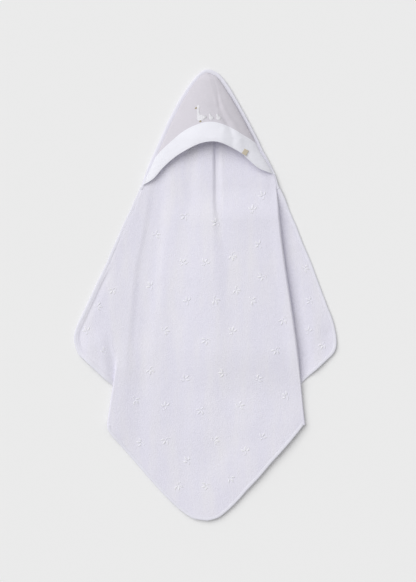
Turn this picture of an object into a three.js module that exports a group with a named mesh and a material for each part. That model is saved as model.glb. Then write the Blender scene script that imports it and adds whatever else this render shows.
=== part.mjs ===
// Hooded baby towel: a square of terry cloth hung from one corner, with a sewn-on
// triangular hood over that corner. It is laid out flat with the hood up (+Y), the front
// facing +Z, left at -X and the underside resting on z = 0. All lengths are millimetres.
//
// The terry square is one cloth on the real towel. It is cut here at the lines where
// it folds, so that each flap can turn: centre panel, bottom flap, left wing, right
// pleat layer, right wing and the hood's back.
import * as THREE from "three";

// ---- cloths, bindings and thread ----
const TERRY_T = 3.0; // terry cloth, loops on both faces
const LINING_T = 1.6; // terry lining of the hood's front
const WOVEN_T = 1.2; // woven cloth on the hood's front
const BAND_T = 2.0; // doubled band along the hood's mouth
const BIND_W = 8.5; // bias binding, width allowed for it along an edge
const BIND_TAPE_W = BIND_W - 0.4; // bias binding as built
const BIND_T = 4.4; // bias binding round one layer of terry
const BIND_HOOD_T = 8.4; // bias binding round the hood's three layers
const GAP = 1.0; // clearance between a cloth and the binding along it
const CLOTH_INSET = BIND_W + GAP; // from the outline to the edge of the cloth
const THREAD_W = 1.0; // sewing thread, laid as a fine cord
const THREAD_T = 0.6;
const STITCH_INSET = 0.22 * BIND_W; // topstitch, inwards from the binding's middle
const STITCH_GAP = 0.25; // clearance between a binding and its topstitch

// ---- folds and heights ----
const HOOD_FOLD_Y = 250.0; // fold line between the hood and the centre panel
const FLAP_FOLD_Y = -297.0; // fold line of the bottom flap
const FLAP_FOLD_GAP = 0.5; // from that fold to the cloth on either side
const PLEAT_Z = 6.0; // underside of the pleat's middle layer
const STACK_Z = 2 * PLEAT_Z; // underside of the centre panel on top of the pleat
const PLEAT_TOP_Y = 190.0; // where the right pleat starts
const PLEAT_APEX = [158.5, 262]; // where the lines of the pleat's two folds meet

// ---- outlines of the laid-out cloth, as [x, y] from the top downwards ----
const HOOD_LEFT = [
  [-4, 519.4], [-16.5, 511.3], [-39, 485.2], [-52.7, 465], [-66.1, 443.5],
  [-77.1, 422.5], [-87.9, 401.8], [-100.3, 374.1], [-112.6, 346.6], [-124.8, 319],
  [-136.4, 291.5], [-145.3, 266.2], [-149.5, 253.3],
];
const HOOD_RIGHT = [
  [9, 519.8], [23.9, 512.6], [34.8, 503.3], [46.7, 487.6], [57.8, 470.8],
  [73.6, 442.6], [89.3, 414.3], [104, 386.3], [117.9, 359.7], [130.8, 332],
  [142.3, 311.5], [157.4, 279.8], [165.3, 253.5],
];
const WING_LEFT = [
  [-151.1, 248.8], [-157.9, 235.7], [-166, 218.2], [-176.2, 194.7], [-185.8, 175.8],
  [-201.8, 140], [-218, 103.3], [-234, 66.4], [-252.3, 29.5], [-269.9, -8.7],
  [-286.3, -44], [-300.2, -74.3], [-305, -99], [-301.8, -116.9], [-294.8, -134.4],
  [-276.8, -152.6], [-256.4, -171.2], [-237.7, -189.2], [-221, -203.3],
];
const WING_RIGHT = [
  [167.5, 249], [178.5, 228], [190.9, 195.5], [206.9, 158.7], [220.7, 121.9],
  [236.8, 85.1], [250.6, 48.3], [264.3, 11.4], [278.1, -25.4], [291.9, -62.2],
  [298.9, -99], [297.7, -121.7], [290.9, -134.6], [276.7, -148.5], [256, -167.9],
  [233.8, -187.1], [215.5, -204.7], [194.8, -224.7], [179.2, -239.1],
];
const FLAP_LEFT = [
  [-228, -302], [-226.6, -308.7], [-220.1, -319.1], [-187.9, -355.9], [-155.7, -392.7],
  [-123.5, -429.5], [-90.3, -465.3], [-59.6, -493.9], [-31.5, -512], [2.3, -517.8],
];
const FLAP_RIGHT = [
  [220.8, -302], [212.4, -311.4], [193.4, -334.9], [171.9, -359.6], [147.9, -385.8],
  [124.1, -414.4], [95.3, -445.3], [67.9, -475.9], [42.6, -499.4], [24.7, -511.6],
  [2.3, -517.8],
];

// Lower edge of the hood's front (its mouth) and the seam between band and panel,
// as [x, y] from the left to the right.
const MOUTH = [
  [-144, 254.6], [-123.3, 268.2], [-101.2, 292.8], [-76.6, 314.9], [-52.2, 330.7],
  [-22.8, 345.5], [-3, 351.2], [16.6, 352.8], [33.8, 349.6], [58.2, 338.8],
  [82.8, 324.5], [95, 313.5], [119.6, 292.8], [142, 276],
];
const SEAM = [
  [-120.8, 319.7], [-101.2, 334.4], [-76.6, 356.5], [-52.2, 376], [-27.6, 388.5],
  [-3, 395.8], [16.6, 396.3], [33.8, 392.2], [58.2, 382.3], [82.8, 367.5],
  [100, 357.7], [117.1, 344.3], [128, 333],
];

// ---- materials ----
const matte = ({ color, roughness }) =>
  new THREE.MeshStandardMaterial({ color, roughness, metalness: 0 });
const terryWhite = matte({ color: 0xdddce6, roughness: 0.95 });
const bindingWhite = matte({ color: 0xeeeef3, roughness: 0.85 });
const bandWhite = matte({ color: 0xeeedf2, roughness: 0.88 });
const wovenGrey = matte({ color: 0xd6d3da, roughness: 0.9 });
const threadWhite = matte({ color: 0xf4f3f5, roughness: 0.7 });
const tan = matte({ color: 0xbeb296, roughness: 0.85 });

// ---- numbers and polylines ----
const clamp = (t) => Math.min(1, Math.max(0, t));
const lerp = (a, b, t) => a + (b - a) * t;
const lerpPoint = (a, b, t) => [lerp(a[0], b[0], t), lerp(a[1], b[1], t)];
const distance = (a, b) => Math.hypot(b[0] - a[0], b[1] - a[1]);

function smooth(t) {
  const s = clamp(t);
  return s * s * (3 - 2 * s);
}

// x as a function of y on the straight line through two points.
const lineX = (start, end) => (y) =>
  lerp(start[0], end[0], (y - start[1]) / (end[1] - start[1]));

// n points evenly spaced along a Catmull-Rom curve through a polyline.
function resample(points, n) {
  const knots = points.map(([x, y]) => new THREE.Vector3(x, y, 0));
  const curve = new THREE.CatmullRomCurve3(knots, false, "centripetal");
  curve.arcLengthDivisions = 400;
  return curve.getSpacedPoints(n - 1).map((p) => [p.x, p.y]);
}

// The polyline moved sideways, to the right of its direction of travel.
function offset(points, shift) {
  return points.map(([x, y], i) => {
    const before = points[Math.max(0, i - 1)];
    const after = points[Math.min(points.length - 1, i + 1)];
    const scale = shift / distance(before, after);
    return [x + scale * (after[1] - before[1]), y - scale * (after[0] - before[0])];
  });
}

// Which way an outline is offset to move inwards: to the left or right of its travel.
// Outlines run downwards, so this is also the side of the towel they are on.
const LEFT = -1;
const RIGHT = 1;
const inset = (points, side, amount) => offset(points, side * amount);

// x of a polyline at height y, at its first crossing. Beyond its ends, x of the end.
function xAt(points, y) {
  for (let i = 1; i < points.length; i++) {
    const [x0, y0] = points[i - 1];
    const [x1, y1] = points[i];
    if ((y0 - y) * (y1 - y) <= 0 && y0 !== y1) return lerp(x0, x1, (y - y0) / (y1 - y0));
  }
  return y > points[0][1] ? points[0][0] : points.at(-1)[0];
}

// ---- solids ----
// A closed solid between two grids of the same size (rows of [x, y, z]).
function solid(bottom, top) {
  const rowCount = bottom.length;
  const colCount = bottom[0].length;
  const indices = [];
  const low = (row, col) => row * colCount + col;
  const high = (row, col) => rowCount * colCount + low(row, col);

  // which way the grid runs, so that the faces point outwards whatever the order
  const corner = bottom[0][0];
  const rowEnd = bottom[0][colCount - 1];
  const colEnd = bottom[rowCount - 1][0];
  const turn =
    (rowEnd[0] - corner[0]) * (colEnd[1] - corner[1]) -
    (rowEnd[1] - corner[1]) * (colEnd[0] - corner[0]);
  const quad = (a, b, c, d) =>
    turn > 0 ? indices.push(a, b, c, a, c, d) : indices.push(d, c, b, d, b, a);

  const lastRow = rowCount - 1;
  const lastCol = colCount - 1;
  for (let r = 0; r < lastRow; r++) {
    for (let c = 0; c < lastCol; c++) {
      quad(high(r, c), high(r, c + 1), high(r + 1, c + 1), high(r + 1, c));
      quad(low(r, c), low(r + 1, c), low(r + 1, c + 1), low(r, c + 1));
    }
  }
  for (let c = 0; c < lastCol; c++) {
    quad(low(0, c), low(0, c + 1), high(0, c + 1), high(0, c));
    quad(low(lastRow, c + 1), low(lastRow, c), high(lastRow, c), high(lastRow, c + 1));
  }
  for (let r = 0; r < lastRow; r++) {
    quad(high(r, 0), high(r + 1, 0), low(r + 1, 0), low(r, 0));
    quad(low(r, lastCol), low(r + 1, lastCol), high(r + 1, lastCol), high(r, lastCol));
  }

  const positions = [bottom, top].flat(3);
  const geometry = new THREE.BufferGeometry();
  geometry.setAttribute("position", new THREE.Float32BufferAttribute(positions, 3));
  geometry.setIndex(indices);
  geometry.computeVertexNormals();
  return geometry;
}

// A solid on the surface z(x, y), over a grid of [x, y]; thicknessAt is by column.
const onSurface = (grid, z, thicknessAt) =>
  solid(
    grid.map((row) => row.map(([x, y]) => [x, y, z(x, y)])),
    grid.map((row) => row.map(([x, y], col) => [x, y, z(x, y) + thicknessAt(col)])),
  );

const cloth = (grid, z, thickness) => onSurface(grid, z, () => thickness);

// Rows at the heights ys, each from leftX(y) to rightX(y) with n columns.
const rows = (ys, leftX, rightX, n) =>
  ys.map((y) => Array.from({ length: n }, (_, i) => [lerp(leftX(y), rightX(y), i / (n - 1)), y]));

// Cross-sections of a tape: [place across the width, share of the thickness].
const CROWNED = [[-0.5, 0.62], [0, 1], [0.5, 0.62]];
const EVEN = [[-0.5, 1], [0.5, 1]];

// A tape along a path, from z(x, y) up.
function tape(path, { width, thickness, section }, z) {
  const lines = section.map(([across]) => offset(path, across * width));
  const grid = path.map((_, i) => lines.map((line) => line[i]));
  return onSurface(grid, z, (col) => thickness * section[col][1]);
}

const group = new THREE.Group();
function add(name, geometry, material) {
  const mesh = new THREE.Mesh(geometry, material);
  mesh.name = name;
  group.add(mesh);
}

// A row of stitching along a path, without the path's end points.
function addTopstitch(name, path, z) {
  const cord = { width: THREAD_W, thickness: THREAD_T, section: EVEN };
  add(name, tape(path.slice(1, -1), cord, z), threadWhite);
}

// A binding along a path, with its topstitch on the inner side.
function addBinding(name, path, side, thickness, z) {
  const strip = { width: BIND_TAPE_W, thickness, section: CROWNED };
  add(`${name}_binding`, tape(path, strip, z), bindingWhite);
  addTopstitch(
    `${name}_topstitch`,
    inset(path, side, STITCH_INSET),
    (x, y) => z(x, y) + thickness + STITCH_GAP,
  );
}

// ---- fold lines and surfaces of the terry ----
const leftFoldX = lineX([-144.9, 250.7], [-227.7, -296.7]); // fold of the left wing
const outerFoldX = lineX(PLEAT_APEX, [226, -292]); // outer fold of the right pleat
const innerFoldX = lineX(PLEAT_APEX, [177, -292]); // inner fold of the right pleat

const LEFT_EDGE_RISE = 8.0; // lift of the centre panel's lower left fold
const LEFT_RAMP_W = 40; // width over which the panel climbs to that fold
const LEFT_RAMP_TOP_Y = -150; // where that lift starts
const LEFT_RAMP_L = 70; // length over which it grows downwards
const PLEAT_RAMP_W = 42; // width over which the panel climbs onto the pleat
const PLEAT_LIFT_Y = HOOD_FOLD_Y - 6; // where the lift onto the pleat starts
const FLAP_FALL = 110; // length over which the bottom flap comes down flat
const pleatRampX = (y) => innerFoldX(y) - 9; // right-hand end of the climb

const flat = () => 0;

// Centre panel: flat, lifted along the right where it lies on the pleat, and a little
// along the lower left fold.
function panelZ(x, y) {
  const taper = smooth((PLEAT_LIFT_Y - y) / (PLEAT_LIFT_Y - PLEAT_TOP_Y));
  const rampStart = pleatRampX(y) - PLEAT_RAMP_W;
  const right = STACK_Z * taper * clamp((x - rampStart) / PLEAT_RAMP_W);
  const growth = smooth((LEFT_RAMP_TOP_Y - y) / LEFT_RAMP_L);
  const left = LEFT_EDGE_RISE * growth * clamp(1 - (x - leftFoldX(y)) / LEFT_RAMP_W);
  return Math.max(right, left);
}
const flapZ = (x, y) => panelZ(x, FLAP_FOLD_Y) * (1 - smooth((FLAP_FOLD_Y - y) / FLAP_FALL));

// ---- terry pieces ----
function buildCentrePanel() {
  const foldGap = 0.8;
  const ys = [
    FLAP_FOLD_Y + FLAP_FOLD_GAP, -262, -222, -185, -150, -60, 40, 130, PLEAT_TOP_Y,
    215, 235, HOOD_FOLD_Y - 0.4,
  ];
  const grid = ys.map((y) => {
    const xs = [
      leftFoldX(y) + foldGap, leftFoldX(y) + LEFT_RAMP_W, -45, 30,
      pleatRampX(y) - PLEAT_RAMP_W, pleatRampX(y), outerFoldX(y) - foldGap,
    ];
    return xs.map((x) => [x, y]);
  });
  add("centre_panel", cloth(grid, panelZ, TERRY_T), terryWhite);
}

function buildBottomFlap() {
  const left = resample(FLAP_LEFT, 18);
  const right = resample(FLAP_RIGHT, 18);
  const leftInner = inset(left, LEFT, CLOTH_INSET);
  const rightInner = inset(right, RIGHT, CLOTH_INSET);
  const ys = [FLAP_FOLD_Y - FLAP_FOLD_GAP, -312, -335, -365, -400, -435, -468, -492, -506];
  const columns = [0, 0.12, 0.35, 0.6, 0.78, 0.89, 1]; // shares of the width
  const grid = ys.map((y) =>
    columns.map((t) => [lerp(xAt(leftInner, y), xAt(rightInner, y), t), y]),
  );
  add("bottom_flap_panel", cloth(grid, flapZ, TERRY_T), terryWhite);

  // down the left edge and up the right, so inwards is to the left of travel
  const outline = [...left, ...right.slice(0, -1).reverse()];
  addBinding("bottom_flap", inset(outline, LEFT, BIND_W / 2), LEFT, BIND_T, flapZ);
}

const WING_BINDING_GAP = 1.2; // between a wing's binding and the fold beside it

function buildLeftWing() {
  const foldGap = 1.6;
  const edge = resample(WING_LEFT, 32);
  const inner = inset(edge, LEFT, CLOTH_INSET);
  const ys = [209, 185, 150, 100, 50, 0, -45, -80, -110, -135, -155, -175, -187];
  const grid = rows(ys, (y) => xAt(inner, y), (y) => leftFoldX(y) - foldGap, 4);
  add("left_wing_panel", cloth(grid, flat, TERRY_T), terryWhite);

  const path = inset(edge, LEFT, BIND_W / 2).filter(
    ([x, y]) => x + BIND_W / 2 < leftFoldX(y) - WING_BINDING_GAP,
  );
  addBinding("left_wing", path, LEFT, BIND_T, flat);
}

// The right wing runs on under the centre panel to the pleat's inner fold.
function buildRightWing() {
  const outerFoldGap = 1.2;
  const innerFoldGap = 2.6;
  const edge = resample(WING_RIGHT, 36);
  const inner = inset(edge, RIGHT, CLOTH_INSET);
  const ys = [
    222, 205, PLEAT_TOP_Y + 2, PLEAT_TOP_Y - 2, 130, 70, 10, -45, -90, -120, -145,
    -175, -205, -218,
  ];
  const startX = (y) =>
    y > PLEAT_TOP_Y ? outerFoldX(y) + outerFoldGap : innerFoldX(y) + innerFoldGap;
  const grid = rows(ys, startX, (y) => xAt(inner, y), 5);
  add("right_wing_panel", cloth(grid, flat, TERRY_T), terryWhite);

  const path = inset(edge, RIGHT, BIND_W / 2).filter(
    ([x, y]) => y < PLEAT_TOP_Y || x - BIND_W / 2 > outerFoldX(y) + WING_BINDING_GAP,
  );
  addBinding("right_wing", path, RIGHT, BIND_T, flat);
}

// Middle layer of the right pleat.
function buildPleat() {
  // the cloth's lower edge climbs from the outer fold to the inner fold
  const edgeX = lineX([182, -236], [224, -292]);
  const innerX = (y) => Math.max(innerFoldX(y) + 2.2, edgeX(y) + BIND_W * 0.8);
  const outerX = (y) => Math.max(outerFoldX(y) - 2.6, innerX(y) + 1.5);
  const ys = [PLEAT_TOP_Y - 4, 120, 40, -40, -120, -190, -228, -244, -262];
  const grid = rows(ys, innerX, outerX, 4);
  add("right_pleat_panel", cloth(grid, () => PLEAT_Z, TERRY_T), terryWhite);

  const path = Array.from({ length: 8 }, (_, i) => {
    const y = lerp(-239, -284, i / 7);
    return [edgeX(y) + 0.5, y];
  });
  const strip = { width: 5.6, thickness: 3.8, section: CROWNED };
  add("right_pleat_binding", tape(path, strip, () => PLEAT_Z - 0.4), bindingWhite);
}

// ---- hood: shape ----
const HOOD_RISE = 40.0; // how far the hood's front stands up at its mouth
const HOOD_BACK_GAP = 0.7; // between the hood's back and its lining
const LAYER_GAP = 1.4; // between the hood's lining and its outer cloth
const SIDE_GAP = 0.3; // from the back's side edges to the front's
const HOOD_TOP_Y = 500; // upper edge of the hood's cloths
const HOOD_COLUMNS = 17; // points across the hood's front
const MOUTH_END_YS = [256, 274]; // left and right ends of the mouth
const SEAM_END_YS = [320, 333]; // left and right ends of the panel's lower edge
const BAND_END_YS = SEAM_END_YS.map((y) => y - 1); // the band ends just below them

const hoodLeftEdge = inset(resample(HOOD_LEFT, 40), LEFT, CLOTH_INSET);
const hoodRightEdge = inset(resample(HOOD_RIGHT, 40), RIGHT, CLOTH_INSET);
const hoodLeftX = (y) => xAt(hoodLeftEdge, y);
const hoodRightX = (y) => xAt(hoodRightEdge, y);
const leftSidePoint = (y) => [hoodLeftX(y) + SIDE_GAP, y];
const rightSidePoint = (y) => [hoodRightX(y) - SIDE_GAP, y];

// The hood's front stands up from its side seams like a shallow tent.
function hoodZ(x, y) {
  const left = hoodLeftX(y);
  const across = clamp((x - left) / (hoodRightX(y) - left));
  const rise = HOOD_RISE * Math.pow(clamp((530 - y) / 150), 0.8);
  const fullness = across > 0.5 ? 0.7 : 0.9; // fuller on the right
  return TERRY_T + HOOD_BACK_GAP + rise * Math.pow(Math.sin(Math.PI * across), fullness);
}

// The surface at a height above the underside of the hood's outer cloth.
const outerZ = (height) => (x, y) => hoodZ(x, y) + LINING_T + LAYER_GAP + height;

// A curve across the hood's front, its ends moved to the side edges at the given heights.
function hoodCurve(points, [leftY, rightY]) {
  const inner = resample(points, HOOD_COLUMNS).slice(1, -1);
  return [leftSidePoint(leftY), ...inner, rightSidePoint(rightY)];
}
const mouthCurve = hoodCurve(MOUTH, MOUTH_END_YS);
const seamCurve = hoodCurve(SEAM, SEAM_END_YS);
const bandTopCurve = hoodCurve(SEAM, BAND_END_YS);

// A grid from a curve across the front up to the hood's top; the curve's bulge from
// its chord fades out on the way.
function frontGrid(curve, rowCount) {
  const start = curve[0];
  const end = curve.at(-1);
  return Array.from({ length: rowCount }, (_, row) => {
    const up = row / (rowCount - 1);
    const left = leftSidePoint(lerp(start[1], HOOD_TOP_Y, up));
    const right = rightSidePoint(lerp(end[1], HOOD_TOP_Y, up));
    return curve.map(([x, y], i) => {
      const across = i / (HOOD_COLUMNS - 1);
      const chord = lerpPoint(start, end, across);
      const base = lerpPoint(left, right, across);
      return [base[0] + (x - chord[0]) * (1 - up), base[1] + (y - chord[1]) * (1 - up)];
    });
  });
}

// A line along the band: 0 at the mouth, 1 at the seam.
const bandLine = (t) => mouthCurve.map((p, i) => lerpPoint(p, bandTopCurve[i], t));

// ---- hood: pieces ----
function buildHoodCloths() {
  const ys = [HOOD_FOLD_Y + 0.8, 275, 305, 335, 365, 395, 425, 455, 480, HOOD_TOP_Y];
  const back = rows(ys, hoodLeftX, hoodRightX, 6);
  add("hood_back_panel", cloth(back, flat, TERRY_T), terryWhite);
  add("hood_lining", cloth(frontGrid(mouthCurve, 11), hoodZ, LINING_T), terryWhite);
  add("hood_front_panel", cloth(frontGrid(seamCurve, 9), outerZ(0), WOVEN_T), wovenGrey);
}

function buildHoodBand() {
  add("hood_band", cloth([0, 0.5, 0.985].map(bandLine), outerZ(0), BAND_T), bandWhite);
  const stitchZ = outerZ(BAND_T + 0.5);
  addTopstitch("hood_band_seam_topstitch", bandLine(0.93), stitchZ);
  addTopstitch("hood_band_mouth_topstitch", bandLine(0.07), stitchZ);
}

function buildHoodEdge() {
  // up the left edge and down the right, so inwards is to the right of travel
  const outline = [...resample(HOOD_LEFT, 22).reverse(), ...resample(HOOD_RIGHT, 22)];
  addBinding("hood_edge", inset(outline, RIGHT, BIND_W / 2), RIGHT, BIND_HOOD_T, flat);
}

// Embroidery: a plain duck and two ducklings in satin stitch, each patch a thin solid
// that follows the hood. Spans are [y, x from, x to].
const PATCH_T = 0.9;
const PATCH_GAP = 0.5; // between the hood's woven cloth and a patch
const PATCHES = [
  ["duck", threadWhite, [
    [401, -20, -7], [404, -23, 0], [408, -22, 3], [412, -20.5, -10], [420, -20, -14],
    [426, -21, -14], [431, -21, -14.5], [434, -19.5, -16],
  ]],
  ["duck_beak", tan, [[427, -26.5, -21.6], [429, -26, -21.6], [430.5, -24, -21.6]]],
  ["duck_feet", tan, [[397.4, -16.5, -11], [399, -15, -12], [400.5, -14.5, -12.5]]],
  ["duckling_front", threadWhite, [
    [403, 7.5, 13], [406, 5.5, 15], [408.5, 6, 10], [412, 5.5, 10], [415, 6.5, 9],
  ]],
  ["duckling_back", threadWhite, [
    [402, 24, 30], [405, 22, 32], [407.5, 22.5, 27], [411, 22, 27], [414, 23, 26],
  ]],
];

function buildEmbroidery() {
  for (const [name, material, spans] of PATCHES) {
    const grid = spans.map(([y, from, to]) => [from, (from + to) / 2, to].map((x) => [x, y]));
    const geometry = cloth(grid, outerZ(WOVEN_T + PATCH_GAP), PATCH_T);
    add(`embroidery_${name}`, geometry, material);
  }
}

// ---- woven tab ----
const TAB_W = 12.5; // along the band
const TAB_L = 15.5; // across the band
const TAB_T = 0.9;
const TAB_AT = [90.2, 327.7]; // the tab's middle, as [x, y]
const TAB_MARGIN = 1; // how far past the tab's edges the band's bulge is measured
const TAB_GAP = 1.6; // clearance above that bulge

// Woven tab, stitched by its upper end to the band and lying on it. Flat, so it
// clears the curved band by the band's own bulge.
function buildWovenTab() {
  const line = bandLine(0.5);
  const distances = line.map((p) => distance(p, TAB_AT));
  const nearest = distances.indexOf(Math.min(...distances));
  const before = line[nearest - 1];
  const after = line[nearest + 1];
  const along = new THREE.Vector3(after[0] - before[0], after[1] - before[1], 0).normalize();
  const across = new THREE.Vector3(along.y, -along.x, 0); // towards the mouth

  const bandTopZ = outerZ(BAND_T);
  const onBand = (s, d) => {
    const x = TAB_AT[0] + along.x * s + across.x * d;
    const y = TAB_AT[1] + along.y * s + across.y * d;
    return new THREE.Vector3(x, y, bandTopZ(x, y));
  };
  const halfW = TAB_W / 2;
  const halfL = TAB_L / 2;
  const middle = onBand(0, 0);
  const xAxis = onBand(halfW, 0).sub(onBand(-halfW, 0)).normalize();
  const slope = onBand(0, halfL).sub(onBand(0, -halfL)).normalize();
  const normal = new THREE.Vector3().crossVectors(slope, xAxis).normalize();
  const yAxis = new THREE.Vector3().crossVectors(normal, xAxis).normalize();

  let bulge = -Infinity;
  for (let i = -4; i <= 4; i++) {
    for (let j = -4; j <= 4; j++) {
      const point = onBand((i / 4) * (halfW + TAB_MARGIN), (j / 4) * (halfL + TAB_MARGIN));
      bulge = Math.max(bulge, point.sub(middle).dot(normal));
    }
  }
  const centre = middle.clone().addScaledVector(normal, bulge + TAB_GAP + TAB_T / 2);

  const tab = new THREE.BoxGeometry(TAB_W, TAB_L, TAB_T);
  tab.deleteAttribute("uv");
  tab.applyMatrix4(new THREE.Matrix4().makeBasis(xAxis, yAxis, normal));
  tab.translate(centre.x, centre.y, centre.z);
  add("woven_tab", tab, tan);

  // the tab's frame, with the hinge at its upper end, before the group is centred
  group.userData.tab = {
    hinge: centre.clone().addScaledVector(yAxis, halfL).toArray(),
    axis: xAxis.clone().negate().toArray(),
    down: yAxis.clone().negate().toArray(),
    n: normal.toArray(),
  };
}

buildCentrePanel();
buildBottomFlap();
buildLeftWing();
buildRightWing();
buildPleat();
buildHoodCloths();
buildHoodBand();
buildHoodEdge();
buildEmbroidery();
buildWovenTab();

// The origin is the middle of the towel's outline, on the surface it rests on.
const box = new THREE.Box3().setFromObject(group, true);
group.position.set(-(box.min.x + box.max.x) / 2, -(box.min.y + box.max.y) / 2, -box.min.z);

export default group;
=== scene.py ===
# A hooded terry towel lying face up on the floor. The hood points to +Y and the bottom flap
# to -Y; the wings reach out to -X (left) and +X (right). The centre panel lies on a pleat
# along its right side. +Z is up, and the floor is at z = 0.
import math

import bmesh
import bpy
import numpy as np
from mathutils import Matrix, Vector


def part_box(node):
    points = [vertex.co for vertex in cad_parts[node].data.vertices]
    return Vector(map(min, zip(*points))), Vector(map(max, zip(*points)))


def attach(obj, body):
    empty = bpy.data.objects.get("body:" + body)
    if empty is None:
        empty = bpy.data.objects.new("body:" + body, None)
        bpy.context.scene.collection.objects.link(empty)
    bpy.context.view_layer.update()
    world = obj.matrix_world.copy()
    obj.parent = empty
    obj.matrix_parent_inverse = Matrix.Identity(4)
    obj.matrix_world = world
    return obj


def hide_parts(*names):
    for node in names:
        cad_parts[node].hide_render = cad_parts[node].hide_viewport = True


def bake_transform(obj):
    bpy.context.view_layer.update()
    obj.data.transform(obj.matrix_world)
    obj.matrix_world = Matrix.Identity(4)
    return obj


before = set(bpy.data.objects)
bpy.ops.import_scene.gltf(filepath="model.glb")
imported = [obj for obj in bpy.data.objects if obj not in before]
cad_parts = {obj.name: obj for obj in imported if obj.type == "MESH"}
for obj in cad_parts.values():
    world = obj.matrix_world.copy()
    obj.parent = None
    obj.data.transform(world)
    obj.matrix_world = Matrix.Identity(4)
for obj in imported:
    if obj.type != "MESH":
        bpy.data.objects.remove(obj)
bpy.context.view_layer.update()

# ------------------------------------------------------------------ frame
# Lengths are millimetres in the towel's own drawing. ORIGIN is the place of the drawing's
# origin in the row frame, found from the centre panel's low corner.
_panel_low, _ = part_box("centre_panel")
ORIGIN = np.array([_panel_low[0] * 1000 + 226.869, _panel_low[1] * 1000 + 296.5, 0.0])


def to_m(points):
    """Drawing millimetres to row-frame metres."""
    return (np.array(points, float).reshape(-1, 3) + ORIGIN) / 1000


def point_m(x, y, z):
    return tuple(to_m([x, y, z])[0].tolist())


# ------------------------------------------------------------------ sizes
STEP = 3.0  # grid spacing of the terry
HALF_TERRY = 1.5  # half the terry's thickness
REST = 1.6  # height of the terry's middle where it rests on the floor
PANEL_TOP, PANEL_BOTTOM = 250.0, -297.0  # y of the centre panel's ends

FOLD_TOP = 23.0  # middle of the centre panel on top of the pleat
PLEAT_Z = 8.0  # middle of the pleat's hidden layer
PLEAT_TOP = 237.0  # y where the hidden layer starts, a little below the hood's corner
PLEAT_BOTTOM = -240.0  # y where the inner fold ends
ROLL = 0.50  # how far the outer fold bulges, as a share of its half height
FOLD_POINTS = 15  # points round the outer fold
LEFT_INSET = 12.0  # from the left fold line to the centre panel's grid

FLAP_LIFT = 5.6  # lift of the bottom flap's lower right edge
HOOD_RISE = 32.5  # height of the hood's arch
SPRIG_HEIGHT = 1.7  # height of the relief sprigs

# ------------------------------------------------------------------ outlines, (x, y)
LEFT_UPPER = [
    (-4, 519.4), (-16.5, 511.3), (-39, 485.2), (-52.7, 465), (-66.1, 443.5), (-77.1, 422.5),
    (-87.9, 401.8), (-100.3, 374.1), (-112.6, 346.6), (-124.8, 319), (-136.4, 291.5),
    (-145.3, 266.2), (-149.5, 253.3)]
LEFT_WING = [
    (-151.1, 248.8), (-157.9, 235.7), (-166, 218.2), (-176.2, 194.7), (-185.8, 175.8),
    (-201.8, 140), (-218, 103.3), (-234, 66.4), (-252.3, 29.5), (-269.9, -8.7), (-286.3, -44),
    (-300.2, -74.3), (-305, -99), (-301.8, -116.9), (-294.8, -134.4), (-276.8, -152.6),
    (-256.4, -171.2), (-237.7, -189.2), (-215, -207.9), (-189.1, -229.9)]
RIGHT_UPPER = [
    (9, 519.8), (23.9, 512.6), (34.8, 503.3), (46.7, 487.6), (57.8, 470.8), (73.6, 442.6),
    (89.3, 414.3), (104, 386.3), (117.9, 359.7), (130.8, 332), (142.3, 311.5), (157.4, 279.8),
    (165.3, 253.5)]
RIGHT_WING = [
    (167.5, 249), (178.5, 228), (190.9, 195.5), (206.9, 158.7), (220.7, 121.9), (236.8, 85.1),
    (250.6, 48.3), (264.3, 11.4), (278.1, -25.4), (291.9, -62.2), (298.9, -99), (297.7, -121.7),
    (290.9, -134.6), (276.7, -148.5), (256, -167.9), (233.8, -187.1), (215.5, -204.7),
    (194.8, -224.7), (179.2, -239.1)]
LEFT_FLAP = [
    (-228.1, -297), (-226.6, -308.7), (-220.1, -319.1), (-187.9, -355.9), (-155.7, -392.7),
    (-123.5, -429.5), (-90.3, -465.3), (-59.6, -493.9), (-31.5, -512), (2.3, -517.8)]
RIGHT_FLAP = [
    (223.6, -297), (212.4, -311.4), (193.4, -334.9), (171.9, -359.6), (147.9, -385.8),
    (124.1, -414.4), (95.3, -445.3), (67.9, -475.9), (42.6, -499.4), (24.7, -511.6),
    (2.3, -517.8)]
# Between their ends, the lower edge of the hood's band and the seam along its upper edge
MOUTH_MIDDLE = [
    (-123.3, 268.2), (-101.2, 292.8), (-76.6, 314.9), (-52.2, 330.7), (-22.8, 345.5),
    (-3, 351.2), (16.6, 352.8), (33.8, 349.6), (58.2, 338.8), (82.8, 324.5), (95, 313.5),
    (119.6, 292.8)]
SEAM_MIDDLE = [
    (-101.2, 334.4), (-76.6, 356.5), (-52.2, 376), (-27.6, 388.5), (-3, 395.8), (16.6, 396.3),
    (33.8, 392.2), (58.2, 382.3), (82.8, 367.5), (100, 357.7), (117.1, 344.3)]

# Straight fold lines, two (x, y) points each
LEFT_FOLD_LINE = (-144.9, 250.7), (-227.7, -296.7)
RIGHT_HINGE_LINE = (158.5, 262), (226, -292)
INNER_HINGE_LINE = (158.5, 262), (177, -292)
# How the right fold strays from its hinge line: (y, x offset)
RIGHT_FOLD_BOW = [
    (-330, -1.2), (-290, -1.3), (-241, -0.8), (-185, 1.0), (-126, 2.2), (-60, 1.3), (11, -0.5),
    (80, -2.6), (150, -3.0), (210, -1.6), (262, 0), (300, 0)]


# ------------------------------------------------------------------ curves
def unit(vectors):
    return vectors / (np.linalg.norm(vectors, axis=-1, keepdims=True) + 1e-12)


def distances(path):
    """Distance along the path at each of its points."""
    return np.r_[0, np.cumsum(np.linalg.norm(np.diff(path, axis=0), axis=1))]


def value_at(where, stations, values):
    """Each column of values, interpolated."""
    return np.stack([np.interp(where, stations, column) for column in values.T], -1)


def resample(path, count):
    along = distances(path)
    return value_at(np.linspace(0, along[-1], count), along, path)


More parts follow.
